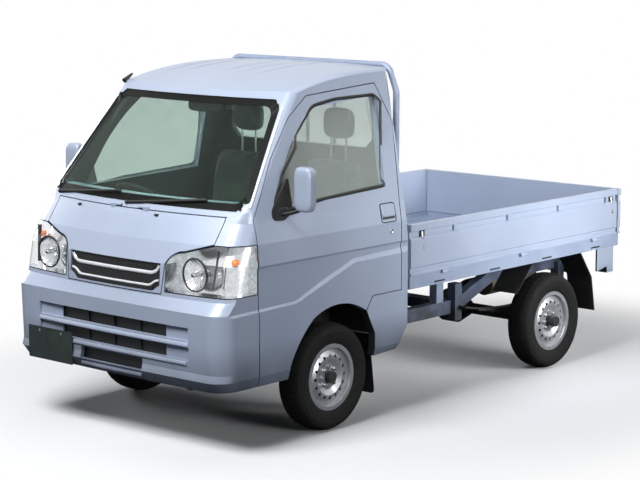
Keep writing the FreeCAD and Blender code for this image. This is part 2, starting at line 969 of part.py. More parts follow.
SCREEN = [
    ("screen_bottom_half_width - screen_corner", "screen_bottom"),
    ("screen_bottom_half_width", "screen_bottom + screen_corner"),
    ("screen_top_half_width", "screen_top - screen_corner"),
    ("screen_top_half_width - screen_corner", "screen_top"),
]

REAR_WINDOW = [
    ("rear_window_half_width - screen_corner", "rear_window_bottom"),
    ("rear_window_half_width", "rear_window_bottom + screen_corner"),
    ("rear_window_half_width", "rear_window_top - screen_corner"),
    ("rear_window_half_width - screen_corner", "rear_window_top"),
]

HOOD = [
    ("hood_bottom_half_width", "hood_bottom"),
    ("lamp_inner", "lamp"),
    ("via", "lamp_inner + (lamp_shoulder - lamp_inner) / 3", "lamp_shoulder_height - panel_gap * 4"),
    ("lamp_shoulder", "lamp_shoulder_height"),
    ("hood_waist_half_width", "lamp_inner_top"),
    ("hood_top_half_width", "cowl"),
    ("hood_top_half_width", "hood_top"),
]

LAMP = [
    ("lamp_inner", "lamp_bottom"),
    ("lamp_inner", "lamp"),
    ("via", "lamp_inner + (lamp_shoulder - lamp_inner) / 3", "lamp_shoulder_height - panel_gap * 4"),
    ("lamp_shoulder", "lamp_shoulder_height"),
    ("hood_waist_half_width", "lamp_inner_top"),
    ("overall_width", "lamp_top"),
    ("overall_width", "lamp_bottom"),
]

DERIVED.update({
    "pillar_inner": "screen_top_half_width - panel_gap * 6",
})


def make_cab():
    """Make the cab shell, its doors, hood, lamps, bumper and glass from one outer form."""
    fold = side_fold()
    outer = carved("cab_outer", held("cab_smooth", cab_form()), [fold, mirrored("side_fold_right", fold)])
    cavity = held("cab_cavity", cab_form("side_wall", "firewall_depth", "pillar_depth", "back_wall", "roof_wall",
                                         "ground_clearance"))
    walls = carved("cab_walls", outer, [cavity])

    door_behind = held("door_cut_layer", cab_form("side_wall + panel_gap * 2", roof_inset="roof_wall + panel_gap * 2",
                                                  drop="ground_clearance"))
    door_cut = carved("door_cutter", side_panel("door_opening", DOOR), [door_behind])
    door_core = held("door_core", cab_form("side_wall", roof_inset="roof_wall", drop="ground_clearance"))
    window_cut = side_panel("window_opening", WINDOW)
    arch_cut = side_panel("arch_opening", ARCH)
    window_glass = side_panel("window_pane", WINDOW, "seat_gap")
    door_form = side_panel("door_form", DOOR, "panel_gap")

    screen_reach = front_panel("screen_opening", both_sides(SCREEN))
    screen_seat = held("screen_seat_layer", shifted(cab_form("glass_inset", "glass_inset", "glass_inset"),
                                                    "glass_thickness * 3 / 2 + seat_gap"))
    behind = held("screen_layer", shifted(cab_form(), "pillar_depth * 2"))
    screen_hole = front_panel("screen_hole", both_sides(SCREEN), "screen_flange")
    screen_cut = joined("screen_cutter", [carved("screen_rabbet", screen_reach, [screen_seat]),
                                          carved("screen_through", screen_hole, [behind])])
    rear_cut = front_panel("rear_window_opening", both_sides(REAR_WINDOW), "0", "-(cab_back + overrun)", "back_wall * 3")
    hood_outline = both_sides(HOOD)
    hood_reach = front_panel("hood_opening", hood_outline)
    hood_behind = held("hood_layer", cab_form("service_depth", "service_depth", "service_depth"))
    hood_cut = carved("hood_cutter", hood_reach, [hood_behind])
    lamp_reach = front_panel("lamp_opening", LAMP, "0", "side_seam")
    lamp_behind = held("lamp_layer", cab_form("side_wall - panel_gap", "lamp_depth", "lamp_depth"))
    lamp_cut = carved("lamp_cutter", lamp_reach, [lamp_behind])

    bumper_back = held("bumper_layer", cab_form("bumper_wall + seat_gap", "bumper_wall + seat_gap",
                                                drop="ground_clearance"))
    front_box = carved("bumper_room", bumper_block("bumper_zone", "0"), [bumper_back])
    engine_bay = block("nose_hollow",
                       ("-(half_width - side_wall * 2)", "-(bumper_nose - bumper_wall)", "-overrun"),
                       ("overall_width - side_wall * 4", "firewall_depth - bumper_wall * 2",
                        "bumper - floor_wall + overrun"))

    under_seat = block("under_seat_room", ("-(half_width - side_wall)", "arch_rear + overrun", "-overrun"),
                       ("overall_width - side_wall * 2", "cab_back - arch_rear",
                        "seat_floor_height - floor_wall / 2 + overrun"))

    floor = make_floor()
    shell = carved("cab_side_cut", walls, [door_cut, mirrored("door_cutter_right", door_cut),
                                           arch_cut, mirrored("arch_opening_right", arch_cut)])
    foot = make_panel_foot()
    shell = carved("cab_front_cut", shell, [screen_cut, rear_cut, hood_cut, lamp_cut,
                                            mirrored("lamp_cutter_right", lamp_cut), front_box, engine_bay, under_seat, foot,
                                            mirrored("panel_foot_right", foot)] + roof_grooves())
    eye = "-side_seam + door_hinge_setback"
    hinges = [hinge_lug("cab_hinge_" + place, "hinge_%s - hinge_height" % place, eye + " - hinge_reach",
                        "hinge_reach * 3 / 2") for place in ("low", "high")]
    hinges += hood_hinge("cab", "hood_barrel_place", "-(belt_nose - floor_wall)", "hood_axis_height - panel_gap / 2")
    lugs = joined("cab_hinges", hinges + [mirrored(lug.Name + "_right", lug) for lug in hinges])
    finish("cab_shell", joined("cab_joined", [shell, floor, lugs]))

    door_wall = carved("door_wall", shared("door_block", [outer, door_form]), [door_core])
    notches = [hinge_notch("door_notch_low", "hinge_low - hinge_height"),
               hinge_notch("door_notch_high", "hinge_high - hinge_height")]
    panel = carved("door_panel", door_wall, [window_cut, arch_cut] + notches)
    leaves = [hinge_lug("door_hinge_" + place, "hinge_" + place, eye + " + panel_gap", "hinge_reach")
              for place in ("low", "high")]
    door = joined("door_left_joined", [panel] + leaves)
    finish("door_left", door)
    glass_outer = held("side_glass_outer", cab_form("side_wall / 2 - glass_thickness / 2"))
    glass_inner = held("side_glass_inner", cab_form("side_wall / 2 + glass_thickness / 2"))
    pane = shared("door_glass_pane", [carved("side_glass_layer", glass_outer, [glass_inner]), window_glass])
    finish("door_glass_left", pane)

    screen_outer = held("screen_outer", cab_form("glass_inset", "glass_inset", "glass_inset"))
    screen_inner = held("screen_inner", shifted(cab_form("glass_inset", "glass_inset", "glass_inset"),
                                                "glass_thickness * 3 / 2"))
    screen_form = front_panel("screen_form", both_sides(SCREEN), "seat_gap")
    finish("windscreen", shared("windscreen_pane", [carved("screen_glass_layer", screen_outer, [screen_inner]),
                                                    screen_form]))
    finish("rear_window", gathered("rear_glass", [front_panel("rear_pane", both_sides(REAR_WINDOW), "seat_gap",
                                                              "-(cab_back - glass_inset)", "glass_thickness")]))

    hood_form = front_panel("hood_form", hood_outline, "panel_gap")
    hood_skin = held("hood_skin_inner", cab_form("hood_thickness", "hood_thickness", "hood_thickness"))
    hood_wall = carved("hood_wall", shared("hood_block", [outer, hood_form]), [hood_skin])
    grille_cut = front_panel("grille_opening", both_sides(grille_outline("0")))
    straps = hood_hinge("hood", "hood_barrel_place + hood_barrel_length + seat_gap",
                        "hood_axis_station + hood_barrel_radius / 5", "hood_top - hood_thickness")
    straps += [mirrored(strap.Name + "_right", strap) for strap in straps]
    finish("hood", joined("hood_joined", [carved("hood_panel", hood_wall, [grille_cut])] + straps))

    lamp_form = front_panel("lamp_form", LAMP, "panel_gap", "side_seam + panel_gap")
    lamp_core = held("lamp_core", cab_form("side_wall - panel_gap - seat_gap", "lamp_depth - panel_gap", "lamp_depth"))
    lamp = carved("lamp_body", shared("lamp_block", [outer, lamp_form]), [lamp_core])
    finish("headlamp_left", lamp)
    finish("headlamp_right", mirrored("lamp_right", lamp), UNMOVED)
    make_bumper(outer, bumper_back)
    make_grille()
    return door, pane


def bumper_block(name, clearance):
    """Make the box that holds the bumper, up to its seams with the lamps and the doors."""
    return block(name, ("-overall_width", "-front_overhang - overrun", "-overrun"),
                 ("overall_width * 2", "front_overhang + overrun - side_seam - (%s)" % clearance,
                  "bumper_top + overrun - (%s)" % clearance))


def shifted(shape, amount):
    """Move a shape rearward by a named amount."""
    moved = shape.copy()
    moved.translate(Vector(0, size(amount), 0))
    return moved


def grille_outline(inset):
    """Give the left half of the grille's opening, a shallow U with raised ends."""
    return [
        ("grille_half_width - grille_bar * 3 - (%s)" % inset, "grille_bottom + (%s)" % inset),
        ("grille_half_width - (%s)" % inset, "grille_bottom + grille_bar * 2 + (%s)" % inset),
        ("grille_half_width - (%s)" % inset, "grille_top - (%s)" % inset),
    ]


def make_floor():
    """Make the floor: footwell, riser in front of the wheels, raised seat floor, wheel houses."""
    wide = "half_width - side_wall - panel_gap"
    front = "-(bumper_nose - firewall_depth + panel_gap)"
    profile = [
        (front, "floor_height"),
        (front, "floor_height - floor_wall"),
        ("-(footwell_back - floor_wall)", "floor_height - floor_wall"),
        ("-(footwell_back - floor_wall)", "seat_floor_height - floor_wall"),
        ("cab_back - back_wall / 2", "seat_floor_height - floor_wall"),
        ("cab_back - back_wall / 2", "seat_floor_height"),
        ("-footwell_back", "seat_floor_height"),
        ("-footwell_back", "floor_height"),
    ]
    outline = sheet_outline("floor_outline", "YZ", profile)
    pan = extruded("floor_pan", outline, "YZ", "-(%s)" % wide, "2 * (%s)" % wide)
    inner = block("wheel_house", ("rail_centre + rail_width", "-(footwell_back - floor_wall)", "floor_height"),
                  ("floor_wall / 2", "arch_rear + footwell_back", "seat_floor_height - floor_height - floor_wall / 2"))
    back = block("wheel_house_back", ("rail_centre + rail_width", "arch_rear", "floor_height"),
                 (wide + " - rail_centre - rail_width", "floor_wall / 2",
                  "seat_floor_height - floor_height - floor_wall / 2"))
    houses = [inner, back]
    houses += [mirrored(wall.Name + "_right", wall) for wall in houses]
    return joined("floor_joined", [pan] + houses)


def make_panel_foot():
    """Cut the lower corner behind the wheel arch, where the panel rises towards the bed."""
    corners = [
        ("arch_rear - overrun", "-overrun"),
        ("arch_rear - overrun", "panel_foot_height - floor_wall / 2"),
        ("panel_foot", "panel_foot_height"),
        ("panel_rear", "panel_rear_height"),
        ("cab_back + overrun", "panel_rear_height"),
        ("cab_back + overrun", "-overrun"),
    ]
    return side_panel("panel_foot_cut", corners)


def hinge_lug(name, low, start, length):
    """Make one leaf of a door hinge, set against the inside of its panel."""
    inner = "half_width - side_wall - panel_gap * 2"
    return block(name, (inner, start, low), ("side_wall / 2 + panel_gap / 2", length, "hinge_height - seat_gap"))


def hinge_notch(name, low):
    """Cut room in the door for the cab's half of a hinge through the whole swing."""
    centre = ("half_width - door_hinge_inset", "-side_seam + door_hinge_setback", low + " - panel_gap")
    room = rod(name + "_room", "hinge_reach * 4 / 3", "hinge_height + panel_gap", centre, UP)
    keep = block(name + "_skin", ("half_width - side_wall / 3", "-side_seam - hinge_reach * 2", "0"),
                 ("overall_width", "hinge_reach * 4", "crown"))
    return carved(name, room, [keep])


def hood_hinge(owner, start, back, low):
    """Make one half of a hood hinge: a barrel on the axis and the leaf that carries it."""
    barrel = rod(owner + "_hood_barrel", "hood_barrel_radius", "hood_barrel_length",
                 (start, "hood_axis_station", "hood_axis_height"), ACROSS)
    leaf = block(owner + "_hood_leaf", (start, "hood_axis_station - hood_barrel_radius", low),
                 ("hood_barrel_length", "%s - hood_axis_station + hood_barrel_radius" % back,
                  "hood_axis_height + hood_barrel_radius / 2 - (%s)" % low))
    return [barrel, leaf]


# Bumper and grille

def make_bumper(outer, room):
    """Make the bumper skin with its two slots and bar, the dark mesh behind and the slats."""
    core = held("bumper_core", cab_form("bumper_wall", "bumper_wall", drop="ground_clearance"))
    skin = carved("bumper_skin", shared("bumper_front", [outer, bumper_block("bumper_box", "seat_gap")]), [core])
    bar_middle = "(slot_top + slot_bottom) / 2"
    upper = block("slot_upper", ("-mesh_half_width", "-(front_overhang + overrun)", bar_middle + " + slot_bar / 2"),
                  ("2 * mesh_half_width", "overrun + bumper_wall * 3", "(slot_top - slot_bottom - slot_bar) / 2"))
    lower = block("slot_lower", ("-mesh_half_width", "-(front_overhang + overrun)", "slot_bottom"),
                  ("2 * mesh_half_width", "overrun + bumper_wall * 3", "(slot_top - slot_bottom - slot_bar) / 2"))
    intake = block("intake_cut", ("-intake_half_width", "-(front_overhang + overrun)", "intake_bottom"),
                   ("2 * intake_half_width", "overrun + bumper_wall * 3", "intake_top - intake_bottom"))
    ends = []
    for name, low in (("slot_end_upper", bar_middle + " + slot_bar / 2"), ("slot_end_lower", "slot_bottom")):
        end = block(name, ("mesh_half_width - overrun / 8", "-(front_overhang + overrun)", low),
                    ("slot_half_width - mesh_half_width", "overrun + bumper_sweep + slot_end_depth",
                     "(slot_top - slot_bottom - slot_bar) / 2"))
        ends += [end, mirrored(name + "_right", end)]
    finish("front_bumper", carved("bumper_slots", skin, [upper, lower, intake] + ends))
    face = "-(bumper_nose - bumper_wall)"
    plate = block("mesh_plate", ("-(mesh_half_width + floor_wall)", face + " + bumper_sweep",
                                 "intake_bottom - floor_wall"),
                  ("2 * (mesh_half_width + floor_wall)", "mesh_thickness",
                   "slot_top - intake_bottom + floor_wall * 2"))
    slats = [block("mesh_slat_%d" % (number + 1),
                   ("%d * slat_spacing - slat_width / 2" % number, face, "slot_bottom"),
                   ("slat_width", "bumper_sweep + mesh_thickness / 2", "slot_top - slot_bottom"))
             for number in (-1, 0, 1)]
    finish("bumper_grille", shared("mesh_fitted", [joined("mesh_joined", [plate] + slats), room]))


def make_grille():
    """Make the grille: a dark back plate, two bars that follow the opening's shape."""
    outline = front_panel("grille_form", both_sides(grille_outline("seat_gap")))
    face = held("grille_face", cab_form("grille_inset", "grille_inset", "grille_inset"))
    back = held("grille_back", cab_form("grille_inset + grille_thickness", "grille_inset + grille_thickness",
                                        "grille_inset"))
    plate = carved("grille_plate", shared("grille_block", [face, outline]), [back])
    bars = []
    outer = held("grille_outer", cab_form("grille_inset / 3", "grille_inset / 3", "grille_inset"))
    for name, low in (("upper", "grille_top - grille_bar * 2 - panel_gap"), ("lower", "grille_bottom + panel_gap")):
        bar = block("grille_bar_" + name, ("-(grille_half_width - grille_bar * 3)", "-(front_overhang + overrun)", low),
                    ("2 * (grille_half_width - grille_bar * 3)", "front_overhang", "grille_bar"))
        bars.append(carved("grille_rib_" + name, shared("grille_strip_" + name, [outer, bar]), [back]))
    finish("grille", joined("grille_joined", [plate] + bars))


# Frame and running gear

def make_frame():
    """Make the ladder frame: two kicked-up rails and their cross members."""
    profile = [
        ("rail_front", "rail_low"),
        ("rail_kick_start", "rail_low"),
        ("rail_kick_end", "rail_high"),
        ("rail_rear", "rail_high"),
        ("rail_rear", "rail_top_high"),
        ("rail_kick_end", "rail_top_high"),
        ("rail_kick_start", "rail_top_low"),
        ("rail_front", "rail_top_low"),
    ]
    rail = prism("frame_rail", "YZ", profile, "rail_centre - rail_width / 2", "rail_width")
    members = []
    for name, station, low in (("front", "rail_front", "rail_low"), ("nose", "-footwell_back", "rail_low"),
                               ("cab", "cab_back", "rail_low"), ("middle", "rail_kick_start - rail_height", "rail_low"),
                               ("axle", "rail_kick_end + member_width", "rail_high"),
                               ("rear", "rail_rear - member_width", "rail_high")):
        members.append(block("member_" + name, ("-rail_centre", station, low + " + rail_width / 5"),
                             ("rail_spacing", "member_width", "rail_height - rail_width * 2 / 5")))
    mounts = []
    post = block("cab_mount", ("rail_centre - rail_width / 2", "cab_back - member_width * 3 / 2", "rail_low"),
                 ("rail_width", "member_width", "seat_floor_height - floor_wall - seat_gap - rail_low"))
    mounts += [post, mirrored("cab_mount_right", post)]
    hangers = []
    for name, station in (("front", "wheelbase - spring_length / 2"), ("rear", "wheelbase + spring_length / 2")):
        ear = block("spring_ear_" + name, ("rail_centre", station + " - member_width / 2",
                                           "hub_height + spring_camber - member_width / 3"),
                    ("spring_centre - spring_width / 2 - seat_gap - rail_centre", "member_width",
                     "rail_high - hub_height"))
        hangers += [ear, mirrored("spring_ear_" + name + "_right", ear)]
    stub = block("engine_mount", ("engine_width / 2 + seat_gap", "engine_front + engine_length / 3", "rail_low"),
                 ("rail_centre - engine_width / 2 - seat_gap", "member_width", "rail_height - rail_width / 2"))
    mounts += [stub, mirrored("engine_mount_right", stub)]
    mounts += [tow_eye("front", "rail_low"), tow_eye("rear", "rail_high")]
    rails = [rail, mirrored("frame_rail_right", rail)]
    finish("ladder_frame", joined("frame_joined", rails + members + mounts + hangers))


def tow_eye(name, rail):
    """Make a tow eye: a rounded plate under the left rail, pierced by its bore."""
    station = "eye_%s_station" % name
    middle = "(%s - eye_%s_drop)" % (rail, name)
    plate = prism("tow_eye_plate_" + name, "YZ", [
        (station + " - eye_radius", middle),
        ("via", station, middle + " - eye_radius"),
        (station + " + eye_radius", middle),
        (station + " + eye_radius", rail + " + eye_radius / 6"),
        (station + " - eye_radius", rail + " + eye_radius / 6"),
    ], "rail_centre - eye_thickness / 2", "eye_thickness")
    bore = rod("tow_eye_bore_" + name, "eye_bore_radius", "eye_thickness * 2",
               ("rail_centre - eye_thickness", station, middle), ACROSS)
    return carved("tow_eye_" + name, plate, [bore])


def make_rear_axle():
    """Make the driven axle: tube, bulged final drive, drums and the hubs that carry the wheels."""
    hub_face = "wheel_offset + rim_hub_offset - rim_wall - seat_gap"
    tube = rod("axle_tube", "axle_radius", "2 * (%s)" % hub_face, ("-(%s)" % hub_face, "0", "0"), ACROSS)
    bulge = turned("axle_bulge", [
        ("-differential_radius * 3 / 2", "0"),
        ("-differential_radius * 3 / 2", "axle_radius"),
        ("-differential_radius / 2", "differential_radius"),
        ("differential_radius / 2", "differential_radius"),
        ("differential_radius * 3 / 2", "axle_radius"),
        ("differential_radius * 3 / 2", "0"),
    ])
    drum = rod("axle_drum", "brake_radius", "rim_hub_offset + brake_thickness",
               ("%s - rim_hub_offset - brake_thickness" % hub_face, "0", "0"), ACROSS)
    hub = rod("axle_hub", "hub_radius", "hub_length", ("%s - seat_gap * 2" % hub_face, "0", "0"), ACROSS)
    pads = block("axle_pad", ("spring_centre - spring_width / 2", "-member_width / 2", "0"),
                 ("spring_width", "member_width", "axle_radius"))
    ends = [drum, hub, pads]
    ends += [mirrored(end.Name + "_right", end) for end in ends]
    finish("rear_axle", joined("axle_joined", [tube, bulge] + ends),
           ("0", "axle_place + rear_axle", "hub_height"))


def make_springs():
    """Make the leaf springs: packs that curve from their eyes down to the axle's pads."""
    low = "hub_height + axle_radius + seat_gap"
    packs = []
    for number in range(SPRING_LEAF_COUNT):
        reach = "(spring_length / 2 * %d / %d)" % (SPRING_LEAF_COUNT - number, SPRING_LEAF_COUNT)
        rise = "(spring_camber * %d / %d)" % ((SPRING_LEAF_COUNT - number) ** 2, SPRING_LEAF_COUNT ** 2)
        base = "%s + %d * spring_leaf" % (low, SPRING_LEAF_COUNT - 1 - number)
        leaf = sheet_outline("leaf_outline_%d" % number, "YZ", [
            ("rear_axle - " + reach, base + " + " + rise),
            ("via", "rear_axle", base),
            ("rear_axle + " + reach, base + " + " + rise),
            ("rear_axle + " + reach, base + " + spring_leaf + " + rise),
            ("via", "rear_axle", base + " + spring_leaf"),
            ("rear_axle - " + reach, base + " + spring_leaf + " + rise),
        ])
        packs.append(extruded("leaf_%d" % number, leaf, "YZ", "spring_centre - spring_width / 2", "spring_width"))
    pack = joined("spring_pack", packs)
    finish("leaf_springs", gathered("springs_both", [pack, mirrored("spring_pack_right", pack)]))


def make_front_suspension():
    """Make the front cross beam with its lower arms and the upright struts."""
    arm_top = "hub_height - knuckle_height / 2 - seat_gap"
    profile = [
        ("rail_centre + rail_width / 2", "rail_low - seat_gap"),
        ("kingpin_half_width - arm_height * 3", arm_top),
        ("kingpin_half_width", arm_top),
        ("kingpin_half_width", arm_top + " - arm_height"),
        ("kingpin_half_width - arm_height * 4", arm_top + " - arm_height"),
        ("rail_centre - rail_width", "rail_low - seat_gap - arm_height * 2"),
    ]
    outline = sheet_outline("arm_outline", "XZ", both_sides(profile))
    arm = extruded("lower_arm", outline, "XZ", "-(arm_width / 2)", "arm_width")
    eye = rod("arm_eye", "arm_width / 2", "arm_height", ("kingpin_half_width", "0", arm_top + " - arm_height"), UP)
    strut = rod("strut_tube", "strut_radius",
                "seat_floor_height - floor_wall - seat_gap - (%s - arm_height / 2)" % arm_top,
                ("strut_half_width", "0", arm_top + " - arm_height / 2"), UP)
    spring = rod("strut_spring", "strut_radius * 12 / 7", "strut_radius * 6",
                 ("strut_half_width - strut_radius / 2", "0", "seat_floor_height - floor_wall - strut_radius * 7"), UP)
    side = joined("suspension_side", [eye, strut, spring])
    finish("front_suspension", joined("suspension_joined", [arm, side, mirrored("suspension_side_right", side)]))


def make_knuckle():
    """Make the steered knuckle: carrier, brake and the spindle that carries the wheel."""
    carrier = block("knuckle_carrier", ("kingpin_half_width - knuckle_width / 2", "-knuckle_depth / 2",
                                        "hub_height - knuckle_height / 2"),
                    ("knuckle_width", "knuckle_depth", "knuckle_height"))
    disc = rod("knuckle_brake", "brake_radius", "brake_thickness",
               ("kingpin_half_width + knuckle_width / 2 - seat_gap", "0", "hub_height"), ACROSS)
    spindle = rod("knuckle_spindle", "hub_radius",
                  "wheel_offset + rim_hub_offset + hub_length / 2 - kingpin_half_width",
                  ("kingpin_half_width", "0", "hub_height"), ACROSS)
    left = joined("knuckle_left_joined", [carrier, disc, spindle])
    finish("knuckle_left", left)
    finish("knuckle_right", mirrored("knuckle_right_joined", left), UNMOVED)


def make_wheels():
    """Make the four wheels, each a pressed steel rim and a tyre."""
    for end, station in (("front", "0"), ("rear", "rear_axle")):
        rim = make_rim("rim_%s" % end)
        tyre = make_tyre("tyre_%s" % end)
        for part, source in (("rim", rim), ("tyre", tyre)):
            finish("%s_%s_left" % (part, end), source,
                   ("wheel_offset", "axle_place + " + station, "hub_height"))
            finish("%s_%s_right" % (part, end), mirrored("%s_%s_other" % (part, end), source), UNMOVED)


def make_rim(name):
    """Turn a drop-centre rim with its dished disc, then pierce the ring of holes and add nuts."""
    half = "rim_width / 2"
    seat = "%s - rim_flange_width" % half
    body = turned(name, [
        ("-(%s)" % half, "rim_flange_radius"),
        ("-(%s)" % seat, "rim_flange_radius"),
        ("-(%s)" % seat, "rim_seat_radius"),
        ("-(rim_well_width)", "rim_seat_radius"),
        ("-(rim_well_width / 2)", "rim_well_radius"),
        ("rim_well_width / 2", "rim_well_radius"),
        ("rim_well_width", "rim_seat_radius"),
        (seat, "rim_seat_radius"),
        (seat, "rim_flange_radius"),
        (half, "rim_flange_radius"),
        (half, "rim_seat_radius - rim_wall"),
        ("rim_well_width + rim_wall / 2", "rim_seat_radius - rim_wall"),
        ("rim_hub_offset", "rim_well_radius - rim_wall / 2"),
        ("rim_crown_offset", "rim_hole_circle"),
        ("rim_crown_offset", "rim_crown_radius"),
        ("rim_hub_offset", "rim_dish_radius"),
        ("rim_hub_offset", "rim_hub_radius"),
        ("rim_hub_offset - rim_wall", "rim_hub_radius"),
        ("rim_hub_offset - rim_wall", "rim_dish_radius"),
        ("rim_crown_offset - rim_wall", "rim_crown_radius"),
        ("rim_crown_offset - rim_wall", "rim_hole_circle"),
        ("rim_well_width / 2", "rim_well_radius - rim_wall * 3 / 2"),
        ("-(rim_well_width / 2)", "rim_well_radius - rim_wall"),
        ("-(rim_well_width + rim_wall / 2)", "rim_seat_radius - rim_wall"),
        ("-(%s)" % half, "rim_seat_radius - rim_wall"),
    ])
    document.recompute()
    sketch = circle_sketch(body, name + "_hole", "YZ", "rim_hole_circle", "rim_hole_radius")
    pocket = body.newObject("PartDesign::Pocket", name + "_pierce")
    pocket.Profile = sketch
    pocket.Reversed = True
    pocket.setExpression("Length", expand("rim_width"))
    repeat_round(body, name + "_holes", pocket, RIM_HOLE_COUNT)
    stud = circle_sketch(body, name + "_stud", "YZ", "wheel_nut_circle", "wheel_nut_radius")
    stud.setExpression("AttachmentOffset.Base.z", expand("rim_hub_offset - rim_wall / 2"))
    nut = body.newObject("PartDesign::Pad", name + "_nut")
    nut.Profile = stud
    nut.setExpression("Length", expand("wheel_nut_length + rim_wall / 2"))
    repeat_round(body, name + "_nuts", nut, WHEEL_NUT_COUNT)
    return body


def circle_sketch(body, name, plane, offset, radius):
    """Sketch one circle on a body's plane, at an offset up from its middle."""
    sketch = body.newObject("Sketcher::SketchObject", name)
    planes = [item for item in body.Origin.OriginFeatures if item.Role == plane + "_Plane"]
    sketch.AttachmentSupport = [(planes[0], "")]
    sketch.MapMode = "FlatFace"
    sketch.addGeometry(Part.Circle(Vector(0, size(offset), 0), UP, size(radius)), False)
    fix_point(sketch, 0, 3, ("0", offset))
    index = sketch.addConstraint(Sketcher.Constraint("Radius", 0, size(radius)))
    sketch.setExpression("Constraints[%d]" % index, expand(radius))
    return sketch


def repeat_round(body, name, feature, count):
    """Repeat a feature round the body's X axis."""
    pattern = body.newObject("PartDesign::PolarPattern", name)
    axes = [item for item in body.Origin.OriginFeatures if item.Role == "X_Axis"]
    pattern.Originals = [feature]
    pattern.Axis = (axes[0], [""])
    pattern.Angle = 360
    pattern.Occurrences = count
    body.Tip = pattern
    return pattern


def make_tyre(name):
    """Turn a tyre whose beads sit inside the rim's flanges."""
    bead = "rim_width / 2 - rim_flange_width - seat_gap"
    return turned(name, [
        ("-(%s)" % bead, "rim_seat_radius + seat_gap"),
        ("-(%s)" % bead, "rim_flange_radius + seat_gap"),
        ("-(tyre_width / 2 - tyre_bulge * 2)", "rim_flange_radius + rim_flange_width"),
        ("via", "-(tyre_width / 2)", "(rim_flange_radius + tyre_radius) / 2"),
        ("-(tyre_width / 2 - tyre_bulge)", "tyre_shoulder_radius - rim_flange_width"),
        ("-(tyre_tread_width / 2)", "tyre_radius - rim_flange_width"),
        ("via", "0", "tyre_radius"),
        ("tyre_tread_width / 2", "tyre_radius - rim_flange_width"),
        ("tyre_width / 2 - tyre_bulge", "tyre_shoulder_radius - rim_flange_width"),
        ("via", "tyre_width / 2", "(rim_flange_radius + tyre_radius) / 2"),
        ("tyre_width / 2 - tyre_bulge * 2", "rim_flange_radius + rim_flange_width"),
        (bead, "rim_flange_radius + seat_gap"),
        (bead, "rim_seat_radius + seat_gap"),
    ])


def make_engine():
    """Make the engine, its propeller shaft, the fuel tank and the exhaust."""
    engine = block("engine_form", ("-engine_width / 2", "engine_front", "engine_low"),
                   ("engine_width", "engine_length", "engine_height"))
    finish("engine_block", joined("engine_joined", [engine, rod("gear_case", "shaft_radius * 5 / 2", "engine_length / 3",
           ("0", "engine_front + engine_length - seat_gap", "hub_height"), ALONG)]))
    start = "engine_front + engine_length * 4 / 3"
    finish("propeller_shaft", joined("shaft_joined", [
        rod("shaft_tube", "shaft_radius", "rear_axle - differential_radius - seat_gap - (%s)" % start,
            ("0", start, "hub_height"), ALONG),
        rod("shaft_joint", "shaft_radius * 3 / 2", "shaft_radius * 2", ("0", start, "hub_height"), ALONG)]))
    inner = "rail_centre + rail_width / 2 + seat_gap"
    tank = prism("tank_body", "XZ", [
        ("-(%s)" % inner, "rail_low + tank_height"),
        ("-(%s)" % inner, "rail_low"),
        ("-(%s + tank_width / 6)" % inner, "rail_low - rail_height / 3"),
        ("-(%s + tank_width * 5 / 6)" % inner, "rail_low - rail_height / 3"),
        ("-(%s + tank_width)" % inner, "rail_low"),
        ("-(%s + tank_width)" % inner, "rail_low + tank_height"),
    ], "-(tank_front + tank_length)", "tank_length")
    finish("fuel_tank", tank)
    low = "hub_height + muffler_radius * 2 / 3"
    pipe_run = pipe("exhaust_pipe", [
        ("engine_width / 3", "engine_front + engine_length + seat_gap", low),
        ("engine_width / 3", "rail_kick_start", low),
        ("engine_width / 2", "rear_axle - differential_radius * 2", "hub_height + differential_radius * 2"),
        ("engine_width / 2", "rear_axle + differential_radius", "hub_height + differential_radius * 2"),
        ("engine_width / 3", "rail_rear - muffler_length - muffler_radius / 2", "hub_height + muffler_radius * 2"),
    ], "pipe_radius", "pipe_radius * 3")
    muffler = rod("muffler_can", "muffler_radius", "muffler_length - member_width",
                  ("engine_width / 3", "rail_rear - muffler_length - muffler_radius / 2", "hub_height + muffler_radius * 2"),
                  ALONG)
    tail = rod("tail_pipe", "pipe_radius", "member_width * 2", ("engine_width / 3", "rail_rear - member_width * 2",
               "hub_height + muffler_radius * 2"), ALONG)
    finish("exhaust", joined("exhaust_joined", [pipe_run, muffler, tail]))


# Cargo bed

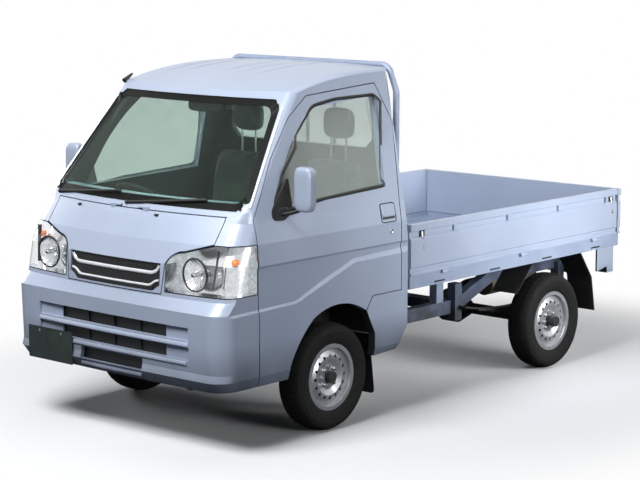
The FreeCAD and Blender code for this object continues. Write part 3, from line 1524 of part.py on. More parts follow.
def make_deck():
    """Make the deck: ribbed floor, side rails, cross sills and the runners it stands on."""
    top = "deck_height"
    dip = "deck_height - deck_rib_depth / 2"
    low = "deck_height - deck_plate - deck_rib_depth / 2"
    inner = "rail_half_width - deck_rail_width"
    corners = [("-(%s)" % inner, low), ("-(%s)" % inner, dip)]
    for number in range(DECK_RIB_COUNT):
        middle = "(%s) * deck_rib_pitch" % (number - (DECK_RIB_COUNT - 1) / 2)
        corners += [
            (middle + " - deck_rib_pitch / 3", dip),
            (middle + " - deck_rib_pitch / 4", top),
            (middle + " + deck_rib_pitch / 4", top),
            (middle + " + deck_rib_pitch / 3", dip),
        ]
    corners += [(inner, dip), (inner, low)]
    outline = sheet_outline("deck_outline", "XZ", corners)
    length = "bed_rear - bed_front"
    plate = extruded("deck_floor", outline, "XZ", "-(bed_rear)", length + " - deck_rail_width + panel_gap")
    rail = block("deck_rail", (inner, "bed_front", "deck_rail_bottom"),
                 ("deck_rail_width", length, "deck_rail_top - deck_rail_bottom"))
    ends = [block("deck_end_" + name, ("-(%s)" % inner, station, "deck_rail_bottom"),
                  ("2 * (%s)" % inner, "deck_rail_width", high + " - deck_rail_bottom"))
            for name, station, high in (("front", "bed_front", "deck_height - deck_plate / 2"),
                                        ("rear", "bed_rear - deck_rail_width", "deck_rail_top"))]
    runner = block("deck_runner", ("rail_centre - rail_width / 2", "bed_front + member_width / 2",
                                   "rail_top_high + seat_gap"),
                   ("rail_width", "rail_rear - bed_front - member_width", "deck_height - rail_top_high - sill_depth"))
    posts = [block("deck_post_" + name, ("rail_centre - rail_width / 2", station, "rail_top_low + seat_gap"),
                   ("rail_width", "member_width", "rail_high - rail_low + seat_gap"))
             for name, station in (("front", "bed_front + member_width * 2"),
                                   ("back", "rail_kick_start - member_width * 3"))]
    sills = [block("deck_sill_%d" % number,
                   ("-(%s)" % inner, "bed_front + sill_width + (%s - bed_front - sill_width * 3) * %d / %d"
                    % ("bed_rear", number, SILL_COUNT - 1), "deck_height - deck_plate - sill_depth"),
                   ("2 * (%s)" % inner, "sill_width", "sill_depth"))
             for number in range(SILL_COUNT)]
    hinges = gate_hinges("deck", 1)
    pieces = [plate, rail, mirrored("deck_rail_right", rail)] + ends + sills
    pieces += [runner, mirrored("deck_runner_right", runner)]
    pieces += posts + [mirrored(post.Name + "_right", post) for post in posts]
    finish("cargo_deck", joined("deck_joined", pieces + hinges))
    hooks = []
    for number in range(HOOK_COUNT):
        place = "bed_front + (bed_rear - bed_front) * %s" % ((number + 0.5) / HOOK_COUNT)
        hooks.append(rod("rope_hook_%d" % number, "hook_radius", "hook_length",
                         ("rail_half_width + hook_radius + seat_gap", place + " - hook_length / 2",
                          "deck_rail_bottom + hook_radius * 4"), ALONG))
    finish("rope_hooks", gathered("hooks_all", hooks + [mirrored(hook.Name + "_right", hook) for hook in hooks]))


def hinge_stations(front, rear):
    """List where a gate's hinges lie between its two ends."""
    return ["(%s) + gate_hinge_inset + ((%s) - (%s) - 2 * gate_hinge_inset) * %d / %d"
            % (front, rear, front, number, GATE_HINGE_COUNT - 1) for number in range(GATE_HINGE_COUNT)]


def gate_hinges(owner, side):
    """Make the hinge barrels and leaves of the side gates and the tailgate.

    The deck's barrels lie just behind the gates' own ones on the same axis.
    """
    on_deck = owner == "deck"
    shift = "gate_barrel_length + seat_gap" if on_deck else "0"
    leaf_low = "gate_axis_height - gate_barrel_radius * 0.8" if on_deck else "gate_axis_height"
    leaf_height = "gate_barrel_radius * 1.5" if on_deck else "gate_bottom - gate_axis_height + deck_plate / 2"
    pieces = []
    if owner in ("deck", "side"):
        for number, station in enumerate(hinge_stations("bed_front", "side_gate_rear")):
            start = "%s + %s" % (station, shift)
            barrel = rod("%s_barrel_%d" % (owner, number), "gate_barrel_radius", "gate_barrel_length",
                         ("gate_axis_half_width", start, "gate_axis_height"), ALONG)
            low_x = "rail_half_width - deck_plate" if on_deck else "gate_axis_half_width - gate_barrel_radius"
            wide = "gate_axis_half_width - (%s)" % low_x
            leaf = block("%s_leaf_%d" % (owner, number), (low_x, start, leaf_low),
                         (wide, "gate_barrel_length", leaf_height))
            pieces += [barrel, leaf]
            if on_deck:
                pieces += [mirrored(barrel.Name + "_right", barrel), mirrored(leaf.Name + "_right", leaf)]
    if owner in ("deck", "tail"):
        for number, station in enumerate(hinge_stations("-gate_half_width", "gate_half_width")):
            start = "%s + %s" % (station, shift)
            barrel = rod("%s_tail_barrel_%d" % (owner, number), "gate_barrel_radius", "gate_barrel_length",
                         (start, "gate_axis_rear", "gate_axis_height"), ACROSS)
            low_y = "bed_rear - deck_plate" if on_deck else "gate_axis_rear - gate_barrel_radius"
            deep = "gate_axis_rear - (%s)" % low_y
            leaf = block("%s_tail_leaf_%d" % (owner, number), (start, low_y, leaf_low),
                         ("gate_barrel_length", deep, leaf_height))
            pieces += [barrel, leaf]
    return pieces


def gate_profile(face):
    """Outline a drop-side panel's section: top rail, recess, flat field and stiffened foot."""
    return [
        (face, "gate_top"),
        (face, "gate_top - gate_rail_height"),
        (face + " - gate_thickness / 2", "gate_top - gate_rail_height - gate_skin"),
        (face + " - gate_thickness / 2", "gate_top - gate_rail_height * 2"),
        (face + " - gate_skin / 2", "gate_top - gate_rail_height * 2 - gate_skin * 2"),
        (face + " - gate_skin / 2", "gate_bottom + gate_rail_height + gate_skin"),
        (face + " - gate_thickness / 3", "gate_bottom + gate_rail_height"),
        (face + " - gate_thickness / 3", "gate_bottom + gate_skin * 2"),
        (face, "gate_bottom + gate_skin"),
        (face, "gate_bottom"),
        (face + " - gate_thickness", "gate_bottom"),
        (face + " - gate_thickness", "gate_top"),
    ]


def make_gates():
    """Make the three drop sides of the bed."""
    side = extruded("side_gate", sheet_outline("side_gate_outline", "XZ", gate_profile("gate_half_width")), "XZ",
                    "-(side_gate_rear)", "side_gate_rear - bed_front")
    tabs = []
    for number in range(HOOK_COUNT):
        place = "bed_front + (side_gate_rear - bed_front) * %s" % ((number + 0.75) / HOOK_COUNT)
        tabs.append(block("gate_tab_%d" % number, ("gate_half_width - gate_thickness", place, "gate_top - gate_rail_height * 2"),
                          ("gate_thickness - gate_skin / 2", "gate_rail_height * 2 / 3", "gate_rail_height")))
    left = joined("side_gate_joined", [side] + tabs + gate_hinges("side", 1))
    finish("gate_left", left)
    finish("gate_right", mirrored("side_gate_right", left), UNMOVED)
    tail = extruded("tail_panel", sheet_outline("tail_outline", "YZ", gate_profile("gate_rear")), "YZ",
                    "-gate_half_width", "2 * gate_half_width")
    finish("tailgate", joined("tailgate_joined", [tail] + gate_hinges("tail", 1)))


def make_headboard():
    """Make the guard frame behind the cab: front panel, bent hoop, uprights and cross bars."""
    foot = "deck_height - deck_plate / 2 + seat_gap"
    half = "(rail_half_width - deck_rail_width - panel_gap / 2)"
    panel = block("headboard_panel", ("-" + half, "bed_front", foot),
                  ("2 * " + half, "headboard_thickness", "gate_top - (%s)" % foot))
    shoulder = "guard_flat_half_width + (guard_half_width - guard_flat_half_width) / 2"
    hoop = pipe("guard_hoop", [
        ("guard_half_width", "guard_station", "deck_height + sill_depth"),
        ("guard_half_width", "guard_station", "guard_shoulder_height"),
        (shoulder, "guard_station", "guard_top"),
        ("-(%s)" % shoulder, "guard_station", "guard_top"),
        ("-guard_half_width", "guard_station", "guard_shoulder_height"),
        ("-guard_half_width", "guard_station", "deck_height + sill_depth"),
    ], "guard_radius", "guard_radius * 4")
    bars = [rod("guard_cross", "guard_bar_radius", "2 * guard_half_width",
                ("-guard_half_width", "guard_station", "guard_rail_height"), ACROSS)]
    for number in (-1, 0, 1):
        bars.append(rod("guard_upright_%d" % (number + 1), "guard_bar_radius", "guard_top - gate_top + guard_radius",
                        ("%d * guard_bar_spacing" % number, "guard_station - guard_radius / 2",
                         "gate_top - guard_radius"), UP))
    finish("headboard", joined("headboard_joined", [panel, hoop] + bars))


# Cab interior

def make_interior():
    """Make the seats, the dashboard, the steering column and the steering wheel."""
    floor = "seat_floor_top"
    hip = "seat_front + seat_length - seat_back_thickness"
    profile = [
        ("seat_front", floor),
        ("seat_front", floor + " + seat_thickness * 3 / 4"),
        ("via", "seat_front + seat_thickness / 8", floor + " + seat_thickness"),
        ("seat_front + seat_thickness / 3", floor + " + seat_thickness * 21 / 20"),
        (hip + " - panel_gap * 4", floor + " + seat_thickness * 9 / 10"),
        (hip + " + seat_lean", floor + " + seat_back_height - panel_gap * 4"),
        ("via", hip + " + seat_lean + seat_back_thickness / 2", floor + " + seat_back_height"),
        (hip + " + seat_lean + seat_back_thickness", floor + " + seat_back_height - panel_gap * 4"),
        (hip + " + seat_back_thickness", floor),
    ]
    outline = sheet_outline("seat_outline", "YZ", profile)
    seat = extruded("seat_form", outline, "YZ", "seat_centre - seat_width / 2", "seat_width")
    top = floor + " + seat_back_height + headrest_rise"
    pad = block("headrest_pad", ("seat_centre - headrest_width / 2",
                                 hip + " + seat_lean + seat_back_thickness / 2 - headrest_thickness / 2", top),
                ("headrest_width", "headrest_thickness", "headrest_height"))
    posts = [rod("headrest_post_%d" % number, "headrest_post_radius", "headrest_rise + seat_thickness",
                 ("seat_centre + %d * headrest_width / 4" % number,
                  hip + " + seat_lean + seat_back_thickness / 2", top + " - headrest_rise - seat_thickness / 2"), UP)
             for number in (-1, 1)]
    whole = joined("seat_joined", [seat, pad] + posts)
    finish("seat_left", whole)
    finish("seat_right", mirrored("seat_right_joined", whole), UNMOVED)

    room = held("dash_room", cab_form("side_wall", "firewall_depth + seat_gap", "pillar_depth + panel_gap",
                                      "back_wall", "roof_wall"))
    between = held("dash_between_doors", cab_form("side_wall + panel_gap * 2"))
    profile = [
        ("-front_overhang", "dash_bottom"),
        ("-(dash_rear + dash_rear / 4)", "dash_bottom"),
        ("-dash_rear", "dash_bottom + dash_rear / 4"),
        ("-dash_rear", "dash_top - dash_rear / 6"),
        ("via", "-(dash_rear + panel_gap * 3)", "dash_top - panel_gap * 3"),
        ("-(dash_rear + dash_rear / 6)", "dash_top"),
        ("-front_overhang", "dash_top"),
    ]
    outline = sheet_outline("dash_outline", "YZ", profile)
    block_form = extruded("dash_block", outline, "YZ", "-half_width", "overall_width")
    dash = shared("dash_form", [room, between, block_form])
    dash_shape = settled(dash).copy()
    finish("dashboard", dash)

    lean = FreeCAD.Rotation(ACROSS, -size("wheel_rake"))
    column = rod("column_tube", "column_radius", "column_length", ("-seat_centre", "wheel_station", "wheel_centre_height"),
                 UP)
    axis = lean.multVec(UP)
    column.Placement = FreeCAD.Placement(ORIGIN, lean)
    back = "column_length + wheel_grip_radius * 2 + seat_gap"
    bind(column, Placement__Base__x="-seat_centre",
         Placement__Base__y="wheel_station - (%s) * %.9f" % (back, axis.y),
         Placement__Base__z="wheel_centre_height - (%s) * %.9f" % (back, axis.z))
    finish("steering_column", carved("column_cut", column, [held("dash_room_for_column", dash_shape)]))

    grip = document.addObject("Part::Torus", "wheel_grip")
    bind(grip, Radius1="wheel_rim_radius", Radius2="wheel_grip_radius")
    hub = rod("wheel_hub", "wheel_hub_radius", "wheel_grip_radius * 2", ("0", "0", "-(wheel_grip_radius * 2)"), UP)
    spokes = [block("wheel_spoke_across", ("-wheel_rim_radius", "-(wheel_grip_radius * 3 / 2)", "-wheel_grip_radius"),
                    ("2 * wheel_rim_radius", "wheel_grip_radius * 3", "wheel_grip_radius")),
              block("wheel_spoke_down", ("-wheel_grip_radius", "0", "-wheel_grip_radius"),
                    ("2 * wheel_grip_radius", "wheel_rim_radius", "wheel_grip_radius"))]
    wheel = joined("wheel_joined", [grip, hub] + spokes)
    wheel.Placement = FreeCAD.Placement(ORIGIN, lean)
    finish("steering_wheel", wheel, ("-seat_centre", "axle_place + wheel_station", "wheel_centre_height"))


# Small outside pieces

def make_wiper(name, pivot):
    """Make one wiper: a hub at the scuttle and an arm that follows the glass."""
    lift = size("wiper_radius") + size("panel_gap") / 2
    low = size("belt")
    rise = size("screen_corner")
    points = []
    for number in range(WIPER_POINT_COUNT + 1):
        part = number / WIPER_POINT_COUNT
        across = pivot + size("wiper_length") * part
        height = low + rise * part
        points.append(Vector(across, nose_at(across, height) - lift, height))
    curve = Part.BSplineCurve()
    curve.interpolate(points)
    path = Part.Wire(curve.toShape())
    ring = Part.Wire(Part.makeCircle(size("wiper_radius"), points[0], curve.tangent(curve.FirstParameter)[0]))
    arm = held("wiper_arm_" + name, path.makePipeShell([ring], True, False))
    hub = held("wiper_hub_" + name, Part.makeSphere(size("wiper_radius") * 3 / 2, points[0]))
    return joined("wiper_%s_joined" % name, [arm, hub])


def make_small_pieces():
    """Make the mirrors, wipers, antenna, plates, lamps, rear beam and mud guards."""
    belt_side = "half_width - cowl_tuck - (belt_tuck - cowl_tuck) * mirror_arm_radius / belt_rise"
    arm_height_place = "cowl + mirror_arm_radius * 2"
    centre = belt_side + " + mirror_reach - mirror_width / 5"
    arm = rod("mirror_arm", "mirror_arm_radius", "mirror_reach / 2 + mirror_width / 4",
              (belt_side + " + seat_gap", "mirror_station", arm_height_place), ACROSS)
    post = rod("mirror_post", "mirror_arm_radius", "mirror_height / 4",
               (centre + " - mirror_width / 8", "mirror_station", arm_height_place), UP)
    shell = prism("mirror_shell", "XZ", [
        (centre + " - mirror_width / 2", "mirror_centre_height - mirror_height / 2"),
        (centre + " + mirror_width / 2", "mirror_centre_height - mirror_height / 2"),
        (centre + " + mirror_width / 2", "mirror_centre_height + mirror_height / 2"),
        (centre + " - mirror_width / 2", "mirror_centre_height + mirror_height / 2"),
    ], "-(mirror_station) - mirror_depth / 2", "mirror_depth")
    document.recompute()
    rounded = shell.newObject("PartDesign::Fillet", "mirror_rounding")
    pad = shell.getObject("mirror_shell_pad")
    rounded.Base = (pad, ["Edge%d" % (number + 1) for number, edge in enumerate(pad.Shape.Edges)
                          if abs(edge.tangentAt(edge.FirstParameter).y) > 0.5])
    rounded.setExpression("Radius", expand("mirror_depth / 3"))
    shell.Tip = rounded
    mirror = joined("mirror_joined", [shell, arm, post])
    finish("mirror_left", mirror)
    finish("mirror_right", mirrored("mirror_right_joined", mirror), UNMOVED)

    wipers = []
    for name, pivot in (("driver", "wiper_driver_pivot"), ("passenger", "wiper_passenger_pivot")):
        wipers.append(make_wiper(name, size(pivot)))
    finish("wipers", gathered("wipers_both", wipers))

    foot = ("-(half_width - header_tuck - antenna_radius * 3)",
            "-(header_nose - header_sweep) + antenna_radius * 2",
            "header + antenna_radius * 7 / 2 + seat_gap * 4")
    mast = rod("antenna_mast", "antenna_radius", "antenna_length", foot,
               Vector(0, size("header_nose"), size("header_tuck")))
    finish("antenna", joined("antenna_joined", [mast, rod("antenna_foot", "antenna_radius * 2", "antenna_radius * 5",
                                                          foot, UP)]))

    plate_back = -nose_at(size("plate_front_centre") - size("plate_width") / 2,
                          size("lip"))
    front_plate = held("plate_front", Part.makeBox(
        size("plate_width"), size("plate_thickness"), size("plate_height"),
        Vector(-size("plate_front_centre") - size("plate_width") / 2,
               -plate_back - size("plate_thickness") - size("seat_gap"), size("plate_front_bottom"))))
    rear_plate = block("plate_rear", ("-plate_width / 2", "rail_rear + underrun_depth + seat_gap * 2",
                                      "underrun_low - plate_height / 2"),
                       ("plate_width", "plate_thickness", "plate_height"))
    finish("number_plates", gathered("plates_both", [front_plate, rear_plate]))

    beam = block("underrun_beam", ("-underrun_width / 2", "rail_rear + seat_gap", "underrun_low"),
                 ("underrun_width", "underrun_depth", "underrun_height"))
    finish("rear_beam", joined("beam_joined", [beam, block("beam_back", (
        "-underrun_width / 2", "rail_rear + seat_gap", "underrun_low + underrun_height - guard_plate"),
        ("underrun_width", "underrun_depth", "guard_plate"))]))

    bracket_top = "deck_rail_bottom - seat_gap"
    bracket = prism("lamp_bracket", "YZ", [
        ("bed_rear - rear_lamp_depth * 5 / 2", bracket_top),
        ("bed_rear - rear_lamp_depth * 5 / 2", "rear_lamp_low + panel_gap * 4"),
        ("bed_rear - rear_lamp_depth", "rear_lamp_low + panel_gap * 8"),
        ("bed_rear - panel_gap", "rear_lamp_low + rear_lamp_height - panel_gap"),
        ("bed_rear - panel_gap", bracket_top),
    ], "rear_lamp_half_width + rear_lamp_width / 2 - guard_plate", "guard_plate")
    lamp = block("tail_lamp_case", ("rear_lamp_half_width - rear_lamp_width / 2", "bed_rear - rear_lamp_depth",
                                    "rear_lamp_low"),
                 ("rear_lamp_width", "rear_lamp_depth - panel_gap", "rear_lamp_height - panel_gap"))
    pair = joined("tail_lamp_left", [bracket, lamp])
    finish("rear_lamps", gathered("rear_lamps_both", [pair, mirrored("tail_lamp_right", pair)]))

    guards = []
    outer = "mudguard_inner + mudguard_width"
    front = prism("guard_front", "YZ", [
        ("rear_axle - tyre_radius + mudguard_clearance", "deck_rail_bottom - seat_gap"),
        ("rear_axle - tyre_radius - mudguard_clearance", "hub_height + tyre_radius * 3 / 4"),
        ("rear_axle - tyre_radius - mudguard_clearance - guard_plate", "hub_height + tyre_radius * 3 / 4"),
        ("rear_axle - tyre_radius + mudguard_clearance - guard_plate * 2", "deck_rail_bottom - seat_gap"),
    ], "mudguard_inner", "mudguard_width")
    back = prism("guard_back", "YZ", [
        ("rear_axle + tyre_radius - guard_plate", "deck_rail_bottom - seat_gap"),
        ("rear_axle + tyre_radius + mudguard_clearance * 3 / 2", "hub_height + tyre_radius * 3 / 4"),
        ("rear_axle + tyre_radius + mudguard_clearance * 2", "hub_height"),
        ("rear_axle + tyre_radius + mudguard_clearance * 2 + guard_plate * 2", "hub_height"),
        ("rear_axle + tyre_radius + mudguard_clearance * 3 / 2 + guard_plate * 2", "hub_height + tyre_radius * 3 / 4"),
        ("rear_axle + tyre_radius + guard_plate", "deck_rail_bottom - seat_gap"),
    ], "mudguard_inner", "mudguard_width")
    del outer
    guards = [front, back]
    finish("mud_guards", gathered("guards_all", guards + [mirrored(guard.Name + "_right", guard) for guard in guards]))


# Build every assembly, check it and write it out

def export():
    """Check every object and every sub-part, then write one file for each sub-part."""
    document.recompute()
    for item in document.Objects:
        faults = [state for state in item.State if state in ("Invalid", "Error")]
        if faults:
            raise RuntimeError("%s is %s" % (item.Name, faults))
    for node, item in subparts.items():
        if item.Shape.isNull() or not item.Shape.isValid():
            raise RuntimeError("%s has no valid shape" % node)
        item.Shape.exportStep("parts/%s.step" % item.Label)
        print("%-22s %3d solids %12.0f mm3" % (node, len(item.Shape.Solids), item.Shape.Volume))


make_frame()
make_rear_axle()
make_springs()
make_front_suspension()
make_knuckle()
make_wheels()
make_engine()
make_deck()
make_gates()
make_headboard()
door, pane = make_cab()
finish("door_right", mirrored("door_right_joined", door), UNMOVED)
finish("door_glass_right", mirrored("door_glass_right_pane", pane), UNMOVED)
make_interior()
make_small_pieces()
export()
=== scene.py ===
"""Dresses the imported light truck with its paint, glass, lamps, trim, seats and tyres, and sets the studio round it.

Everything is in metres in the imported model's frame: the front of the truck faces -Y, its left side +X, and the floor
is at zero. Stations that are counted from the front axle are turned into that frame by station().
"""

from __future__ import annotations

import logging
import math
from dataclasses import dataclass
from enum import Enum
from functools import cache

import bmesh
import bpy
import numpy as np
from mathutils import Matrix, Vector

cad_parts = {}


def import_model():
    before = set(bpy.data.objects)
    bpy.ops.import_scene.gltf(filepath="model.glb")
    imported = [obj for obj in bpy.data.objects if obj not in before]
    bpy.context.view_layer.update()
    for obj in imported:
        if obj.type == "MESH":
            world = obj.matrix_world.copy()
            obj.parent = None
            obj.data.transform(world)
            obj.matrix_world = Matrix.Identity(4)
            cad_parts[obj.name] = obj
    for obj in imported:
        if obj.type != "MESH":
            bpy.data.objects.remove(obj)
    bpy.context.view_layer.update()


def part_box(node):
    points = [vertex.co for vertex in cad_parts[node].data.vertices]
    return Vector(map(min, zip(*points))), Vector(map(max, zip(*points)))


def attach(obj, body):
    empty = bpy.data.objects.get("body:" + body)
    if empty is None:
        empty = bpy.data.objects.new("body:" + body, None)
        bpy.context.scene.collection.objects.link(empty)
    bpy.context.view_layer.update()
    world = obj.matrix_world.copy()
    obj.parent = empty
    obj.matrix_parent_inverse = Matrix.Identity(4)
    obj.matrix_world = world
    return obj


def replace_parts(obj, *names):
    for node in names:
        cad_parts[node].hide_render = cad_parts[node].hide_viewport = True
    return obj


LOG = logging.getLogger("light_truck")
FRONT_AXLE = -0.8675
MILLIMETRE = 0.001
UP = np.array([0.0, 0.0, 1.0])
BACK = np.array([0.0, 1.0, 0.0])


class Side(Enum):
    """A side of the truck, with the sign of its place along X."""

    LEFT = 1
    RIGHT = -1

    @property
    def word(self) -> str:
        """Give the side's name as the node names have it."""
        return self.name.lower()


def station(behind_axle: float | np.ndarray) -> float | np.ndarray:
    """Turn a distance behind the front axle into a place along Y."""
    return behind_axle + FRONT_AXLE


def spot(across: float, behind_axle: float, height: float) -> np.ndarray:
    """Give the point at an X, a distance behind the front axle and a height."""
    return np.array([across, station(behind_axle), height])


def ends(node: str) -> tuple[np.ndarray, np.ndarray]:
    """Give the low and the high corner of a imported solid's box."""
    low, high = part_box(node)
    return np.array(low), np.array(high)


# Surfaces


@dataclass
class Shape:
    """Points and faces worked out with numpy, on their way to becoming a mesh.

    Attributes:
        points: the points, one row of three for each.
        faces: the point numbers of each face.
    """

    points: np.ndarray
    faces: list[tuple[int, ...]]

    def joined(self, *others: Shape) -> Shape:
        """Put other shapes into the same mesh."""
        points, faces = [self.points], list(self.faces)
        start = len(self.points)
        for other in others:
            points.append(other.points)
            faces += [tuple(number + start for number in face) for face in other.faces]
            start += len(other.points)
        return Shape(np.concatenate(points), faces)

    def on_side(self, side: Side) -> Shape:
        """Give the shape drawn for the left as it is on one side. build() turns the faces of the other outwards."""
        return Shape(self.points * np.array([side.value, 1.0, 1.0]), self.faces)


def grid(points: np.ndarray, wrap_rows: bool = False, wrap_columns: bool = False, capped: bool = False) -> Shape:
    """Make faces between the neighbours on a grid of points.

    Args:
        points: rows by columns by three.
        wrap_rows: join the last row to the first.
        wrap_columns: join the last column to the first.
        capped: close the first and last rows with a face each.

    Returns:
        The surface through the points.
    """
    rows, columns = points.shape[:2]
    numbers = np.arange(rows * columns).reshape(rows, columns)
    if wrap_rows:
        numbers = np.vstack([numbers, numbers[:1]])
    if wrap_columns:
        numbers = np.hstack([numbers, numbers[:, :1]])
    quads = np.stack([numbers[:-1, :-1], numbers[1:, :-1], numbers[1:, 1:], numbers[:-1, 1:]], axis=-1)
    faces = [tuple(quad) for quad in quads.reshape(-1, 4).tolist()]
    if capped:
        faces.append(tuple(range(columns)))
        faces.append(tuple(range((rows - 1) * columns, rows * columns)))
    return Shape(points.reshape(-1, 3), faces)


def unit(vectors: np.ndarray) -> np.ndarray:
    """Scale vectors to a length of one."""
    return vectors / np.maximum(np.linalg.norm(vectors, axis=-1, keepdims=True), 1e-12)


def full(wave: np.ndarray, power: float) -> np.ndarray:
    """Bend a wave towards plus or minus one: the power of its size, with its sign."""
    return np.sign(wave) * abs(wave) ** power


def rounded(corners: np.ndarray, radius: float, steps: int = 6, closed: bool = True) -> np.ndarray:
    """Round the corners of a line: each is a parabola from radius before it to radius after it.

    Args:
        corners: the corners in order.
        radius: how far from its corner each bend starts and ends.
        steps: points on each bend.
        closed: whether the line returns to its start.

    Returns:
        The points of the rounded line.
    """
    corners = np.asarray(corners, float)
    before = corners + radius * unit(np.roll(corners, 1, axis=0) - corners)
    after = corners + radius * unit(np.roll(corners, -1, axis=0) - corners)
    along = np.linspace(0, 1, steps)[None, :, None]
    bends = (
        (1 - along) ** 2 * before[:, None] + 2 * along * (1 - along) * corners[:, None] + along**2 * after[:, None]
    )
    if closed:
        return bends.reshape(-1, corners.shape[1])
    return np.concatenate([corners[:1], bends[1:-1].reshape(-1, corners.shape[1]), corners[-1:]])


def smooth_through(knots: np.ndarray, steps: int = 8) -> np.ndarray:
    """Run a Catmull-Rom curve through the knots: each span is the cubic whose slopes are half its neighbours' spacing.

    Args:
        knots: the points to pass through.
        steps: points on each span.

    Returns:
        The points of the curve.
    """
    knots = np.asarray(knots, float)
    framed = np.concatenate([2 * knots[:1] - knots[1:2], knots, 2 * knots[-1:] - knots[-2:-1]])
    first, second, third, fourth = (framed[place:len(framed) - 3 + place, None] for place in range(4))
    along = np.linspace(0, 1, steps, endpoint=False)[None, :, None]
    spans = 0.5 * (
        2 * second
        + (third - first) * along
        + (2 * first - 5 * second + 4 * third - fourth) * along**2
        + (3 * second - first - 3 * third + fourth) * along**3
    )
    return np.concatenate([spans.reshape(-1, knots.shape[1]), knots[-1:]])


def spaced(line: np.ndarray, count: int) -> np.ndarray:
    """Put count points at even distances along a line."""
    walked = np.concatenate([[0.0], np.cumsum(np.linalg.norm(np.diff(line, axis=0), axis=1))])
    places = np.linspace(0, walked[-1], count)
    return np.stack([np.interp(places, walked, column) for column in line.T], axis=1)


def bead(width: float, height: float, steps: int = 12, fullness: float = 3.0) -> np.ndarray:
    """Give the section of a rounded strip: a superellipse, |x/a|^n + |y/b|^n = 1.

    Args:
        width: its full width.
        height: its full height.
        steps: points round it.
        fullness: the power n, from 2 for an ellipse to more for a squarer strip.

    Returns:
        The section's points, across and out.
    """
    turn = np.linspace(0, 2 * np.pi, steps, endpoint=False) + np.pi / steps
    power = 2 / fullness
    return np.stack([width / 2 * full(np.cos(turn), power), height / 2 * full(np.sin(turn), power)], axis=1)


def swept(section: np.ndarray, path: np.ndarray, out: np.ndarray, closed: bool = False) -> Shape:
    """Carry a section along a path: point = path + across * section[0] + out * section[1] at each step.

    Args:
        section: points across and out.
        path: the points that it passes.
        out: the way that the section's second value points, one vector or one for each step.
        closed: whether the path returns to its start.

    Returns:
        The strip, closed at its ends.
    """
    if closed:
        heading = np.roll(path, -1, axis=0) - np.roll(path, 1, axis=0)
    else:
        heading = np.gradient(path, axis=0)
    across = unit(np.cross(heading, np.broadcast_to(out, path.shape)))
    rise = unit(np.cross(across, heading))
    points = path[:, None] + across[:, None] * section[None, :, :1] + rise[:, None] * section[None, :, 1:]
    return grid(points, wrap_rows=closed, wrap_columns=True, capped=not closed)


def turned(profile: tuple, centre: np.ndarray, axis: int, steps: int = 48, ring: bool = False) -> Shape:
    """Turn a profile round an axis: point = centre + along * axis + radius * (cos, sin) across it.

    Args:
        profile: distances along the axis, each with its radius.
        centre: where the axis starts.
        axis: 0, 1 or 2 for X, Y or Z.
        steps: points round the axis.
        ring: whether the profile is a loop that doesn't touch the axis.

    Returns:
        The turned shape, whose ends are closed where the radius is zero.
    """
    profile = np.asarray(profile, float)
    angle = np.linspace(0, 2 * np.pi, steps, endpoint=False)[:, None]
    points = np.empty((steps, len(profile), 3))
    points[..., axis] = profile[None, :, 0]
    points[..., (axis + 1) % 3] = np.cos(angle) * profile[None, :, 1]
    points[..., (axis + 2) % 3] = np.sin(angle) * profile[None, :, 1]
    return grid(points + np.asarray(centre), wrap_rows=True, wrap_columns=ring)


def pad(half: np.ndarray, centre: np.ndarray, fullness: float = 5.0, thin_axis: int = 2, steps: int = 64) -> Shape:
    """Make a rounded block, a superellipsoid: round its waist by the angle u and from pole to pole by the angle v.

    Args:
        half: half its sizes along X, Y and Z.
        centre: its middle.
        fullness: 2 for an ellipsoid, and more for a squarer block.
        thin_axis: the axis through its poles.
        steps: points round its waist.

    Returns:
        The closed block.
    """
    power = 2 / fullness
    round_waist = np.linspace(0, 2 * np.pi, steps, endpoint=False)[None, :]
    pole_to_pole = np.linspace(-np.pi / 2, np.pi / 2, steps // 2 + 1)[:, None]
    waist = full(np.cos(pole_to_pole).clip(0), power)
    points = np.empty((steps // 2 + 1, steps, 3))
    points[..., thin_axis] = full(np.sin(pole_to_pole), power)
    points[..., (thin_axis + 1) % 3] = waist * full(np.cos(round_waist), power)
    points[..., (thin_axis + 2) % 3] = waist * full(np.sin(round_waist), power)
    return grid(points * np.asarray(half) + np.asarray(centre), wrap_columns=True)


def plate(outline: np.ndarray, thickness: np.ndarray) -> Shape:
    """Make a plate between an outline and the same outline moved by its thickness."""
    return grid(np.stack([outline, outline + np.asarray(thickness)]), wrap_columns=True, capped=True)


def band(outer: np.ndarray, inner: np.ndarray, thickness: np.ndarray) -> Shape:
    """Make a flat ring between two outlines that have as many points, thickened by one vector."""
    return grid(
        np.stack([outer, inner, inner + np.asarray(thickness), outer + np.asarray(thickness)], axis=1),
        wrap_rows=True, wrap_columns=True,
    )


